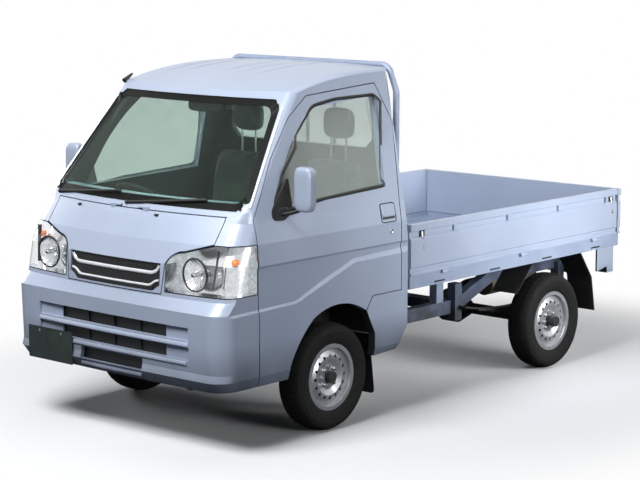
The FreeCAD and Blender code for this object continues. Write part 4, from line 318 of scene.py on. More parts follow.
def build(
    name: str, shape: Shape, finish: Finish, body: str = "chassis", bevel: float = 0.0, smooth_degrees: float = 40.0
) -> bpy.types.Object:
    """Make a piece from a shape, with its faces turned outwards, and let it ride on its body.

    Args:
        name: the piece's name.
        shape: its points and faces.
        finish: what it is made of.
        body: the body that it moves with.
        bevel: width of the bevel on its sharp edges.
        smooth_degrees: faces that meet at less than this look like one surface.

    Returns:
        The finished object.
    """
    mesh = bpy.data.meshes.new(name)
    mesh.from_pydata(shape.points.tolist(), [], shape.faces)
    work = bmesh.new()
    work.from_mesh(mesh)
    bmesh.ops.remove_doubles(work, verts=work.verts, dist=1e-6)
    bmesh.ops.recalc_face_normals(work, faces=work.faces)
    work.to_mesh(mesh)
    work.free()
    mesh.shade_smooth()
    mesh.set_sharp_from_angle(angle=np.radians(smooth_degrees))
    mesh.materials.append(finish.material())
    piece = bpy.data.objects.new(name, mesh)
    bpy.context.collection.objects.link(piece)
    if bevel > 0:
        modifier = piece.modifiers.new("edge_round", "BEVEL")
        modifier.width = bevel
        modifier.segments = 2
        modifier.limit_method = "ANGLE"
    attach(piece, body)
    LOG.info("built %s on %s", name, body)
    return piece


@dataclass(frozen=True)
class Sided:
    """Pieces that stand on one side of the truck.

    Attributes:
        side: the side.
    """

    side: Side

    def fit(
        self, name: str, shape: Shape, finish: Finish, body: str = "chassis", bevel: float = 0.0, mirrored: bool = True
    ) -> bpy.types.Object:
        """Build a piece of this side, whose word ends its name.

        Args:
            name: the piece's name without the side.
            shape: its points and faces.
            finish: what it is made of.
            body: the body that it moves with.
            bevel: width of the bevel on its sharp edges.
            mirrored: whether the shape is drawn for the left, and not on this side already.

        Returns:
            The finished object.
        """
        placed = shape.on_side(self.side) if mirrored else shape
        return build(f"{name}_{self.side.word}", placed, finish, body, bevel)


class Skin:
    """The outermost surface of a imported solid, seen along one axis, on which trim is laid.

    Attributes:
        axis: 0 or 1 for a look along X or Y.
        outward: the sign of the side that is looked at.
    """

    def __init__(self, node: str, axis: int, outward: int) -> None:
        """Read the solid's triangles once."""
        mesh = bpy.data.objects[node].data
        mesh.calc_loop_triangles()
        points = np.empty(len(mesh.vertices) * 3)
        mesh.vertices.foreach_get("co", points)
        corners = np.empty(len(mesh.loop_triangles) * 3, dtype=np.int64)
        mesh.loop_triangles.foreach_get("vertices", corners)
        self.axis = axis
        self.outward = outward
        self.flat_axes = [number for number in range(3) if number != axis]
        self.triangles = points.reshape(-1, 3)[corners.reshape(-1, 3)]

    def lay(self, flat: np.ndarray, lift: float = 0.0) -> np.ndarray:
        """Put flat points on the surface. A point's share of each triangle's corners says whether it falls inside.

        Args:
            flat: the two other coordinates of each point.
            lift: how far the points stand proud of the surface.

        Returns:
            The points in space. One that misses the solid takes the depth of the nearest that doesn't.
        """
        flat = np.asarray(flat, float)
        first, second, third = (self.triangles[:, corner][:, self.flat_axes] for corner in range(3))
        area = np.cross(second - first, third - first)
        safe_area = np.where(abs(area) < 1e-12, np.inf, area)
        to_first, to_second, to_third = (flat[:, None] - corner[None] for corner in (first, second, third))
        share_third = np.cross((second - first)[None], to_first) / safe_area
        share_first = np.cross((third - second)[None], to_second) / safe_area
        share_second = np.cross((first - third)[None], to_third) / safe_area
        depths = self.triangles[..., self.axis]
        depth = share_first * depths[:, 0] + share_second * depths[:, 1] + share_third * depths[:, 2]
        inside = np.minimum(np.minimum(share_first, share_second), share_third) >= -1e-6
        found = np.where(inside & np.isfinite(safe_area), depth * self.outward, -np.inf).max(axis=1)
        hit = np.isfinite(found)
        nearest = np.linalg.norm(flat[:, None] - flat[hit][None], axis=2).argmin(axis=1)
        placed = np.empty((len(flat), 3))
        placed[:, self.flat_axes] = flat
        placed[:, self.axis] = (found[hit][nearest] + lift) * self.outward
        return placed


# Finishes


def linear(code: str) -> tuple[float, float, float, float]:
    """Turn an sRGB hex value into the linear colour that a shader socket takes.

    Args:
        code: six hex digits.

    Returns:
        Red, green, blue and alpha, each from 0 to 1.
    """
    shares = np.array([int(code[place:place + 2], 16) / 255 for place in (0, 2, 4)])
    light = np.where(shares <= 0.04045, shares / 12.92, ((shares + 0.055) / 1.055) ** 2.4)
    return (float(light[0]), float(light[1]), float(light[2]), 1.0)


def add_node(
    tree: bpy.types.NodeTree,
    kind: str,
    settings: dict[str | int, object] | None = None,
    links: dict[str | int, bpy.types.NodeSocket | bpy.types.Node] | None = None,
) -> bpy.types.Node:
    """Add one node with its settings and its incoming links.

    Args:
        tree: the node tree that gets the node.
        kind: the node's type, such as ShaderNodeTexNoise.
        settings: property names or input names, each with its value.
        links: input names or numbers, each with the socket that feeds it, or a node for its first output.

    Returns:
        The new node.
    """
    node = tree.nodes.new(kind)
    for key, value in (settings or {}).items():
        if isinstance(key, str) and hasattr(node, key):
            setattr(node, key, value)
        else:
            node.inputs[key].default_value = value
    for key, source in (links or {}).items():
        tree.links.new(source.outputs[0] if isinstance(source, bpy.types.Node) else source, node.inputs[key])
    return node


@dataclass(frozen=True)
class Finish:
    """What a surface is made of and how it was made.

    Attributes:
        name: the real material's common name, which the shader material takes.
        slot: the record's material slot that it belongs to; not used.
        colour: its main colour as sRGB hex.
        shade: a second colour that soft clouds mix in.
        cloud_mm: size of those clouds.
        roughness: middle of its roughness.
        roughness_spread: how far the roughness wanders either side.
        grain_mm: size of the grain that its surface shows.
        grain_depth_mm: height of that grain.
        metallic: share of metal in its answer.
        coat: weight of a clear coat over it.
        coat_roughness: roughness of that coat.
        sheen: weight of a soft fibre sheen.
        ior: index of refraction.
        specular: level of the plain gloss, where 0.5 is as the index of refraction has it.
        stretch: scale of the grain along X, Y and Z, for a brushed or drawn surface.
    """

    name: str
    slot: str
    colour: str
    shade: str
    cloud_mm: float = 120.0
    roughness: float = 0.5
    roughness_spread: float = 0.06
    grain_mm: float = 1.5
    grain_depth_mm: float = 0.02
    metallic: float = 0.0
    coat: float = 0.0
    coat_roughness: float = 0.03
    sheen: float = 0.0
    ior: float = 1.5
    specular: float = 0.5
    stretch: tuple[float, float, float] = (1.0, 1.0, 1.0)

    @cache
    def material(self) -> bpy.types.Material:
        """Make the shader material once and give it out each time after."""
        material = bpy.data.materials.new(self.name)
        material.use_nodes = True
        tree = material.node_tree
        shader = tree.nodes["Principled BSDF"]
        for socket, value in (
            ("Metallic", self.metallic), ("IOR", self.ior), ("Specular IOR Level", self.specular),
            ("Coat Weight", self.coat), ("Coat Roughness", self.coat_roughness), ("Sheen Weight", self.sheen),
        ):
            shader.inputs[socket].default_value = value
        place = add_node(tree, "ShaderNodeTexCoord").outputs["Object"]
        cloud = add_node(
            tree, "ShaderNodeTexNoise", {"Scale": 1 / (self.cloud_mm * MILLIMETRE), "Detail": 2.0}, {"Vector": place}
        ).outputs["Fac"]
        tree.links.new(self.tint(tree, place, cloud), shader.inputs["Base Color"])
        dullest, glossiest = self.roughness + self.roughness_spread, max(self.roughness - self.roughness_spread, 0.0)
        polish = add_node(
            tree, "ShaderNodeMapRange", {"From Min": 0.3, "From Max": 0.7, "To Min": glossiest, "To Max": dullest},
            {"Value": cloud},
        )
        tree.links.new(polish.outputs["Result"], shader.inputs["Roughness"])
        if self.grain_depth_mm > 0:
            tree.links.new(self.relief(tree, place), shader.inputs["Normal"])
        self.extra(tree, shader)
        return material

    def tint(
        self, tree: bpy.types.NodeTree, place: bpy.types.NodeSocket, cloud: bpy.types.NodeSocket
    ) -> bpy.types.NodeSocket:
        """Mix the two colours in soft clouds."""
        share = add_node(tree, "ShaderNodeMapRange", {"From Min": 0.35, "From Max": 0.7}, {"Value": cloud})
        mixed = add_node(
            tree, "ShaderNodeMix", {"data_type": "RGBA", 6: linear(self.colour), 7: linear(self.shade)},
            {0: share},
        )
        return mixed.outputs[2]

    def relief(self, tree: bpy.types.NodeTree, place: bpy.types.NodeSocket) -> bpy.types.NodeSocket:
        """Raise the grain, stretched along the way the surface was drawn or brushed."""
        mapped = add_node(tree, "ShaderNodeMapping", {"Scale": self.stretch}, {"Vector": place})
        grain = add_node(
            tree, "ShaderNodeTexNoise", {"Scale": 1 / (self.grain_mm * MILLIMETRE), "Detail": 3.0},
            {"Vector": mapped},
        )
        bump = add_node(tree, "ShaderNodeBump", {"Distance": self.grain_depth_mm * MILLIMETRE}, {"Height": grain})
        return bump.outputs["Normal"]

    def extra(self, tree: bpy.types.NodeTree, shader: bpy.types.Node) -> None:
        """Add what only some finishes have."""


@dataclass(frozen=True)
class BodyPaint(Finish):
    """Metallic paint: tiny flakes under a clear coat, so a panel brightens where it faces the light.

    Attributes:
        flake_mm: size of the flake clusters. Real flakes are 0.02 mm across, too fine to show, so they are coarser.
        low_shade: sRGB hex of the painted shade that darkens the body towards the bottom, for the dark floor that its
            lower panels reflect.
        low_shade_top: height at which the painted shade has faded out.
        low_shade_depth: how far below that it is full.
        low_shade_share: weight of the full painted shade before the clouds thin it.
        flake_share: weight of the flakes.
    """

    flake_mm: float = 3.0
    low_shade: str = "2B3038"
    low_shade_top: float = 0.54
    low_shade_depth: float = 0.25
    low_shade_share: float = 1.6
    flake_share: float = 0.12

    def tint(
        self, tree: bpy.types.NodeTree, place: bpy.types.NodeSocket, cloud: bpy.types.NodeSocket
    ) -> bpy.types.NodeSocket:
        """Scatter slightly lighter flake clusters over the base and paint shade in patches towards the bottom edge."""
        base = super().tint(tree, place, cloud)
        flakes = add_node(
            tree, "ShaderNodeTexNoise", {"Scale": 1 / (self.flake_mm * MILLIMETRE), "Detail": 4.0}, {"Vector": place}
        )
        flecked = add_node(
            tree, "ShaderNodeMix", {"data_type": "RGBA", "blend_type": "SOFT_LIGHT", 0: self.flake_share},
            {6: base, 7: flakes},
        )
        # Painted shade: the colour darkens towards the bottom, in patches thinned by the clouds.
        height = add_node(tree, "ShaderNodeSeparateXYZ", links={"Vector": place}).outputs["Z"]
        full_from = self.low_shade_top - self.low_shade_depth
        low = add_node(
            tree, "ShaderNodeMapRange", {"From Min": self.low_shade_top, "From Max": full_from, "To Max": self.low_shade_share},
            {"Value": height},
        )
        patchy = add_node(tree, "ShaderNodeMath", {"operation": "MULTIPLY"}, {0: low, 1: cloud})
        low_shaded = add_node(
            tree, "ShaderNodeMix", {"data_type": "RGBA", 7: linear(self.low_shade)}, {0: patchy, 6: flecked.outputs[2]}
        )
        return low_shaded.outputs[2]


@dataclass(frozen=True)
class PaneGlass(Finish):
    """Glass or clear acrylic: light passes it, and its shadow has the tint of its veil.

    Attributes:
        veil: sRGB hex of the light that passes to what lies behind.
        clear_share: share of the surface that light passes. The rest shows the pane's pale colour, a painted reflection
            of the white studio.
    """

    veil: str = "C8D4CE"
    clear_share: float = 1.0

    def extra(self, tree: bpy.types.NodeTree, shader: bpy.types.Node) -> None:
        """Make the body of the glass clear and let shadow rays pass with its tint."""
        shader.inputs["Transmission Weight"].default_value = self.clear_share
        path = add_node(tree, "ShaderNodeLightPath").outputs["Is Shadow Ray"]
        clear = add_node(tree, "ShaderNodeBsdfTransparent", {"Color": linear(self.veil)})
        mixed = add_node(tree, "ShaderNodeMixShader", links={0: path, 1: shader, 2: clear})
        tree.links.new(mixed.outputs["Shader"], tree.nodes["Material Output"].inputs["Surface"])


@dataclass(frozen=True)
class WovenCloth(Finish):
    """Plain-woven seat cloth: crossed threads stand a little proud, dark in the gaps.

    Attributes:
        thread_mm: spacing of the threads. The real ones are 0.6 mm apart, too fine to show, so they are coarser.
    """

    thread_mm: float = 3.0

    def relief(self, tree: bpy.types.NodeTree, place: bpy.types.NodeSocket) -> bpy.types.NodeSocket:
        """Cross two waves of threads and raise them with a little fuzz."""
        heights = []
        for direction in ("X", "Z"):
            wave = add_node(
                tree, "ShaderNodeTexWave",
                {"bands_direction": direction, "Scale": 0.314 / (self.thread_mm * MILLIMETRE), "Distortion": 0.6},
                {"Vector": place},
            )
            heights.append(wave.outputs["Fac"])
        weave = add_node(tree, "ShaderNodeMath", {"operation": "MULTIPLY"}, {0: heights[0], 1: heights[1]})
        bump = add_node(tree, "ShaderNodeBump", {"Distance": self.grain_depth_mm * MILLIMETRE}, {"Height": weave})
        return bump.outputs["Normal"]


class Paints:
    """The finishes of this truck, each named for what it really is."""

    # Factory enamel with aluminium flake under clear lacquer: bright where it faces up, blue-grey where it turns away,
    # and darker low down by painted shade.
    BODY = BodyPaint(
        "metallic_body_enamel", "body_paint", "A0ACC1", "A6B1C6", cloud_mm=400, roughness=0.4, roughness_spread=0.02,
        grain_mm=2.5, grain_depth_mm=0.003, metallic=0.15, coat=0.25, coat_roughness=0.05, specular=0.3,
    )
    # The same enamel sprayed inside the bed and cab without much lacquer: flatter, with scuffs.
    INNER = BodyPaint(
        "unlacquered_inner_enamel", "body_paint", "95A2B9", "8895AC", cloud_mm=180, roughness=0.5,
        roughness_spread=0.08, grain_mm=2.0, grain_depth_mm=0.01, metallic=0.1, coat=0.2, coat_roughness=0.2,
    )
    # Frame rails and cross-members in a darker tone of body colour, with the same painted shade deepening towards the
    # bottom.
    FRAME = BodyPaint(
        "dusty_frame_enamel", "chassis", "5C6984", "4B5569", cloud_mm=120, roughness=0.55, grain_mm=3.0,
        grain_depth_mm=0.03, coat=0.1, low_shade_top=0.6,
    )
    # Float glass with a green-grey body tint: the laminated screen is darker than the side windows.
    # The pale colour on the share of the pane that light doesn't pass is a painted reflection of the white studio.
    GLASS = PaneGlass(
        "tinted_float_glass", "window_glass", "DDE5E2", "D9E1DE", roughness=0.0, roughness_spread=0.0,
        grain_depth_mm=0.0, ior=1.45, veil="DDE5E2", clear_share=0.84,
    )
    SCREEN = PaneGlass(
        "laminated_screen_glass", "window_glass", "DCEEE6", "D8EAE2", roughness=0.0, roughness_spread=0.0,
        grain_depth_mm=0.0, ior=1.14, veil="86A094", clear_share=0.99, specular=0.1,
    )
    # Hard-coated polycarbonate of the lamp lenses: thin and clear, so its light bends very little.
    LENS = PaneGlass(
        "clear_polycarbonate_lens", "lamp_lens", "F4F6F8", "F0F2F4", roughness=0.0, roughness_spread=0.0,
        grain_depth_mm=0.0, ior=1.02, coat=1.0, veil="FFFFFF",
    )
    # Lamp bowl, vacuum-metallised over a moulded base: mirror-bright with a faint ripple.
    REFLECTOR = Finish(
        "metallised_lamp_bowl", "lamp_lens", "E6E8EA", "CDD0D3", cloud_mm=18, roughness=0.16, roughness_spread=0.05,
        grain_mm=9.0, grain_depth_mm=0.25, metallic=1.0,
    )
    # Amber-dipped indicator bulb.
    AMBER = Finish(
        "amber_acrylic", "tail_lens", "E0701A", "D2600F", cloud_mm=20, roughness=0.15, grain_mm=2.0,
        grain_depth_mm=0.03, coat=1.0,
    )
    # Red acrylic, ribbed inside so that it glows evenly.
    RED = Finish(
        "red_acrylic_lens", "tail_lens", "A8141A", "8E0E14", cloud_mm=30, roughness=0.14, grain_mm=3.0,
        grain_depth_mm=0.05, coat=1.0,
    )
    # Carbon-black filled natural rubber, moulded and then rolled on the road: dull, a little brown where dust sits.
    TYRE = Finish(
        "moulded_tyre_rubber", "tyre_rubber", "0D0E0F", "161615", cloud_mm=40, roughness=0.8, roughness_spread=0.08,
        grain_mm=0.8, grain_depth_mm=0.05, specular=0.25,
    )
    # Calendered sheet rubber of the flaps and guards.
    FLAP = Finish(
        "calendered_flap_rubber", "flap_rubber", "17181A", "202122", cloud_mm=60, roughness=0.66, grain_mm=1.5,
        grain_depth_mm=0.05,
    )
    # Extruded EPDM weatherstrip: black with a soft satin skin.
    SEAL = Finish(
        "extruded_epdm_seal", "dark_plastic", "0D0E10", "151618", cloud_mm=25, roughness=0.45, grain_mm=0.6,
        grain_depth_mm=0.015,
    )
    # Ceramic frit baked on the edge of the screen: black with the gloss of the glass over it.
    FRIT = Finish(
        "baked_ceramic_frit", "window_glass", "060A08", "0A0E0C", cloud_mm=60, roughness=0.5, grain_mm=0.8,
        grain_depth_mm=0.004, specular=0.1,
    )
    # Pressed steel sprayed with silver wheel lacquer: fine flake, a little orange peel.
    WHEEL = Finish(
        "silver_wheel_lacquer", "wheel_steel", "BCBFC3", "A9ACB0", cloud_mm=30, roughness=0.34, grain_mm=3.0,
        grain_depth_mm=0.01, metallic=0.6, coat=0.5, coat_roughness=0.12,
    )
    # Injection-moulded ABS with a spark-eroded grain.
    CHARCOAL = Finish(
        "moulded_black_abs", "dark_plastic", "0C0D0E", "121315", cloud_mm=60, roughness=0.55, grain_mm=0.9,
        grain_depth_mm=0.04,
    )
    # Bright vacuum plating under clear lacquer on the grille's strips. The pale strips beside the screen's pillars use
    # it as a painted highlight.
    BRIGHT = Finish(
        "plated_grille_strip", "bright_steel", "E6E9ED", "DCDFE4", cloud_mm=60, roughness=0.3, roughness_spread=0.03,
        grain_depth_mm=0.0, metallic=0.35, coat=0.8,
    )
    # Vinyl-skinned board of the door cards and back wall, grey-green, darkened nearly to black as painted shade of the
    # cab's inside.
    TRIM = Finish(
        "vinyl_skinned_board", "cabin_plastic", "222B27", "1D2622", cloud_mm=90, roughness=0.7, grain_mm=1.2,
        grain_depth_mm=0.06,
    )
    # Slush-moulded skin of the dash, dark grey-green, darkened further as painted shade of the cab's inside.
    DASH = Finish(
        "slush_moulded_dash_skin", "cabin_plastic", "1C2421", "232B28", cloud_mm=90, roughness=0.62, grain_mm=1.2,
        grain_depth_mm=0.06,
    )
    # Needle-punched headlining of light grey felt, darkened to mid grey as painted shade of the cab's inside.
    HEADLINING = Finish(
        "needled_headlining_felt", "cabin_plastic", "4C5452", "454D4B", cloud_mm=70, roughness=0.95, grain_mm=1.6,
        grain_depth_mm=0.08, sheen=0.2,
    )
    # Cast and forged running gear under chassis black: rough, with road dust.
    CHASSIS = Finish(
        "chassis_black_primer", "black_steel", "1B1D1F", "2E2C29", cloud_mm=70, roughness=0.62, roughness_spread=0.12,
        grain_mm=2.5, grain_depth_mm=0.08,
    )
    # Black and lumpy, on the wheel arches and the underside of the cab.
    UNDERSEAL = Finish(
        "bitumen_underseal", "black_steel", "101112", "191918", cloud_mm=50, roughness=0.8, grain_mm=6.0,
        grain_depth_mm=0.5,
    )
    # Sand-cast aluminium of the engine's block and sump.
    CAST = Finish(
        "sand_cast_aluminium", "alloy", "6C6E70", "4C4B48", cloud_mm=80, roughness=0.58, roughness_spread=0.1,
        grain_mm=1.8, grain_depth_mm=0.12, metallic=0.85,
    )
    # Aluminised steel of the exhaust, browned by heat.
    EXHAUST = Finish(
        "aluminised_exhaust_steel", "muffler_steel", "8A8172", "6A5C4C", cloud_mm=60, roughness=0.48,
        roughness_spread=0.12, grain_mm=2.0, grain_depth_mm=0.05, metallic=0.8,
    )
    # Bright zinc plate over forged steel.
    ZINC = Finish(
        "bright_zinc_plate", "bright_steel", "B4B6B8", "9C9EA0", cloud_mm=20, roughness=0.34, roughness_spread=0.08,
        grain_mm=1.0, grain_depth_mm=0.02, metallic=1.0,
    )
    # Silvered glass of the mirrors.
    SILVERED = Finish(
        "silvered_mirror_glass", "bright_steel", "DADCDE", "D2D4D6", cloud_mm=60, roughness=0.04,
        roughness_spread=0.02, grain_depth_mm=0.0, metallic=1.0,
    )
    # Plain-woven polyester seat cloth, grey-green.
    CLOTH = WovenCloth(
        "woven_polyester_seat_cloth", "seat_cloth", "4A524F", "414946", cloud_mm=60, roughness=0.92,
        grain_depth_mm=0.5, sheen=0.3,
    )
    # Blank plate in dark baked enamel.
    PLATE = Finish(
        "dark_baked_plate_enamel", "dark_plastic", "232D2B", "29332F", cloud_mm=60, roughness=0.42, grain_mm=1.5,
        grain_depth_mm=0.02, coat=0.3,
    )


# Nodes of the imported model


@dataclass(frozen=True)
class Facets:
    """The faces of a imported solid, for giving its regions different finishes.

    Attributes:
        node: the solid's name.
    """

    node: str

    def read(self, what: str) -> np.ndarray:
        """Read the centres or normals of its faces."""
        faces = bpy.data.objects[self.node].data.polygons
        values = np.empty(len(faces) * 3)
        faces.foreach_get(what, values)
        return values.reshape(-1, 3)

    def dress(self, finishes: list[Finish], choice: np.ndarray | None = None) -> None:
        """Give the solid its finishes, and each face the number of its own."""
        mesh = bpy.data.objects[self.node].data
        mesh.materials.clear()
        for finish in finishes:
            mesh.materials.append(finish.material())
        if choice is not None:
            mesh.polygons.foreach_set("material_index", choice.astype(np.int32))


@dataclass(frozen=True)
class Dresser:
    """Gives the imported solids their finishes.

    Attributes:
        cab_middle: a point in the cab that its inner faces look towards.
        arch_half_width: where the wheel arches begin, counted from the middle.
        arch_reach: how far they reach before and behind the axle.
        arch_top: their height.
        sill_half_width: where the outer skin begins, low on the cab.
        floor_top: height of the cab floor under the seats.
        lining_bottom: height above which the inside has headlining.
        lamp_side: X beyond which the rear lamps' cases are side plates.
        cab_facing: cosine below which a face of the cab looks at its middle.
        door_facing: part of its normal along X below which a face is on a door's inside.
        lens_facing: cosine above which a face of a head lamp looks out, and is clear.
        lamp_outward: the way that the left head lamp looks.
    """

    cab_middle: tuple[float, float, float] = (0.0, station(0.05), 1.15)
    arch_half_width: float = 0.44
    arch_reach: float = 0.345
    arch_top: float = 0.662
    sill_half_width: float = 0.7
    floor_top: float = 0.665
    lining_bottom: float = 1.5
    lamp_side: float = 0.687
    cab_facing: float = -0.05
    door_facing: float = -0.3
    lens_facing: float = 0.35
    lamp_outward: tuple[float, float, float] = (0.5, -0.85, 0.1)

    PLAIN = (
        (Paints.BODY, "front_bumper gate_left gate_right tailgate hood"),
        (Paints.INNER, "cargo_deck headboard"),
        (Paints.FRAME, "ladder_frame"),
        (Paints.GLASS, "door_glass_left door_glass_right rear_window"),
        (Paints.SCREEN, "windscreen"),
        (Paints.FLAP, "mud_guards"),
        (Paints.WHEEL, "rim_front_left rim_front_right rim_rear_left rim_rear_right"),
        (Paints.CHARCOAL, "grille bumper_grille wipers antenna rope_hooks steering_wheel steering_column"),
        (Paints.DASH, "dashboard"),
        (Paints.CHASSIS, "rear_axle leaf_springs front_suspension knuckle_left knuckle_right propeller_shaft"),
        (Paints.CHASSIS, "fuel_tank rear_beam"),
        (Paints.CAST, "engine_block"),
        (Paints.EXHAUST, "exhaust"),
        (Paints.PLATE, "number_plates"),
    )

    def dress(self) -> None:
        """Dress every solid that stays in view."""
        for finish, names in self.PLAIN:
            for name in names.split():
                Facets(name).dress([finish])
        self.dress_cab()
        for side in Side:
            door = Facets("door_" + side.word)
            door.dress([Paints.BODY, Paints.TRIM], door.read("normal")[:, 0] * side.value < self.door_facing)
            lamp = Facets("headlamp_" + side.word)
            outward = lamp.read("normal") @ (np.array(self.lamp_outward) * [side.value, 1.0, 1.0])
            lamp.dress([Paints.LENS, Paints.REFLECTOR], outward < self.lens_facing)
        cases = Facets("rear_lamps")
        cases.dress([Paints.CHARCOAL, Paints.BODY], abs(cases.read("center")[:, 0]) > self.lamp_side)
        LOG.info("dressed the packed solids")

    def dress_cab(self) -> None:
        """Paint the outside, trim the inside, line the roof, and make the wheel arches and the underside black and
        lumpy.
        """
        facets = Facets("cab_shell")
        centre, normal = facets.read("center"), facets.read("normal")
        faces_in = (normal * unit(centre - self.cab_middle)).sum(axis=1) < self.cab_facing
        inside = faces_in & (centre[:, 2] > self.floor_top)
        low, across = centre[:, 2] < self.arch_top, abs(centre[:, 0])
        arch = (
            low & (across > self.arch_half_width) & (abs(normal[:, 0]) < 0.9)
            & (abs(centre[:, 1] - FRONT_AXLE) < self.arch_reach)
        )
        choice = np.zeros(len(centre))
        choice[inside] = 1
        choice[inside & (centre[:, 2] > self.lining_bottom)] = 2
        choice[arch | low & (across < self.sill_half_width)] = 3
        facets.dress([Paints.BODY, Paints.TRIM, Paints.HEADLINING, Paints.UNDERSEAL], choice)


# Glass and door trim


@dataclass(frozen=True)
class ScreenTrim:
    """The black border baked on the screen, and the pale strips beside the pillars, which are a painted highlight.

    Attributes:
        corners: half of the screen's outline, as X and Z, from the lower middle round to the upper middle.
        corner_radius: how far from its corner each bend of the border starts.
        border: width of the black border.
        strip: width and height of the painted highlight strip beside each pillar.
        beside: how far outside the corners the strip runs.
        lift: how far the border stands proud of the glass.
    """

    corners: tuple = ((0.0, 1.152), (0.674, 1.152), (0.563, 1.652), (0.0, 1.652))
    corner_radius: float = 0.055
    border: float = 0.034
    strip: tuple[float, float] = (0.012, 0.007)
    beside: float = 0.013
    lift: float = 0.0015

    def outline(self, inset: float) -> np.ndarray:
        """Give the whole outline in short steps, each corner moved towards the middle by the inset."""
        half = np.array(self.corners)
        moved = half - inset * np.sign(half - [0.0, (half[0, 1] + half[-1, 1]) / 2])
        ring = rounded(np.concatenate([moved, moved[-2:0:-1] * [-1.0, 1.0]]), self.corner_radius, 8)
        ahead = np.roll(ring, -1, axis=0) - ring
        return (ring[:, None] + ahead[:, None] * np.linspace(0, 1, 10, endpoint=False)[None, :, None]).reshape(-1, 2)

    def build(self) -> None:
        """Build the border and the painted highlight strips."""
        glass = Skin("windscreen", 1, -1)
        outer, inner = (glass.lay(self.outline(inset), self.lift) for inset in (0.001, self.border))
        build("screen_border", band(outer, inner, 0.002 * BACK), Paints.FRIT)
        # A pale strip along each pillar's edge: painted highlight.
        line = spaced(np.array(self.corners[1:3]) + [self.beside, 0.0], 25)[1:-1]
        placed = smooth_through(Skin("cab_shell", 1, -1).lay(line, 0.002)[::3], 6)
        strip = swept(bead(*self.strip), placed, np.array([0.3, -0.8, 0.5]))
        for side in Side:
            Sided(side).fit("bright_pillar_strip", strip, Paints.BRIGHT)


@dataclass(frozen=True)
class DoorTrim(Sided):
    """One door's window seal, corner sail, handle and lock.

    Attributes:
        window: the window opening, as stations behind the front axle and heights.
        outset: how far outside the opening the seal's line runs.
        sail: outline of the black sail in its lower front corner.
        seal: width and height of the rubber round the window.
        handle: front, rear, bottom and top of the handle's recess.
        lock: station and height of the key cylinder.
    """

    window: tuple = (
        (-0.036, 1.606), (0.130, 1.630), (0.446, 1.638), (0.432, 1.190), (-0.064, 1.172), (-0.420, 1.128),
        (-0.309, 1.303), (-0.185, 1.458),
    )
    outset: float = 0.008
    sail: tuple = ((-0.306, 1.300), (-0.424, 1.140), (-0.418, 1.100), (-0.340, 1.092), (-0.268, 1.135), (-0.288, 1.215))
    seal: tuple[float, float] = (0.017, 0.009)
    handle: tuple[float, float, float, float] = (0.366, 0.479, 1.004, 1.098)
    lock: tuple[float, float] = (0.435, 0.956)

    def flat(self, corners: np.ndarray, radius: float, steps: int) -> np.ndarray:
        """Round an outline of stations and heights, as Y and Z."""
        return rounded(np.array(corners) + [FRONT_AXLE, 0.0], radius, steps)

    def build(self) -> None:
        """Build the seal, the sail, the recess's dark rim, the pull flap over its slot, and the key cylinder."""
        door = Skin("door_" + self.side.word, 0, self.side.value)
        out = np.array([float(self.side.value), 0.0, 0.0])
        window = np.array(self.window)
        path = door.lay(self.flat(window + self.outset * unit(window - window.mean(axis=0)), 0.035, 5))
        path[:, 0] = np.convolve(np.tile(path[:, 0], 3), np.ones(5) / 5, "same")[len(path):2 * len(path)]
        sail = door.lay(self.flat(self.sail, 0.022, 6), 0.003)
        front, rear, bottom, top = self.handle
        recess = self.flat([(front, bottom), (front, top), (rear, top), (rear, bottom)], 0.014, 5)
        middle = recess.mean(axis=0)
        flap = door.lay(middle + (recess - middle) * [0.88, 0.62] + [0.0, 0.012])
        slot = door.lay(middle + (recess - middle) * [0.86, 0.12] - [0.0, 0.026])
        barrel = np.array([
            (-0.004, 0.0), (-0.004, 0.013), (0.002, 0.013), (0.0035, 0.011), (0.002, 0.008), (0.002, 0.0),
        ])
        key_place = door.lay(np.array([self.lock]) + [FRONT_AXLE, 0.0])[0]
        for name, shape, finish, bevel in (
            ("window_seal", swept(bead(*self.seal), path, out, True), Paints.SEAL, 0.0),
            ("mirror_sail", plate(sail, -0.012 * out), Paints.CHARCOAL, 0.002),
            ("handle_rim", swept(bead(0.005, 0.004), door.lay(recess, 0.0005), out, True), Paints.SEAL, 0.0),
            ("handle_flap", plate(flap, 0.007 * out), Paints.BODY, 0.003),
            ("handle_slot", plate(slot, 0.0015 * out), Paints.SEAL, 0.0),
            ("door_lock", turned(barrel * [out[0], 1.0], key_place, 0, 32), Paints.ZINC, 0.0),
        ):
            self.fit(name, shape, finish, "side_door_" + self.side.word, bevel, mirrored=False)


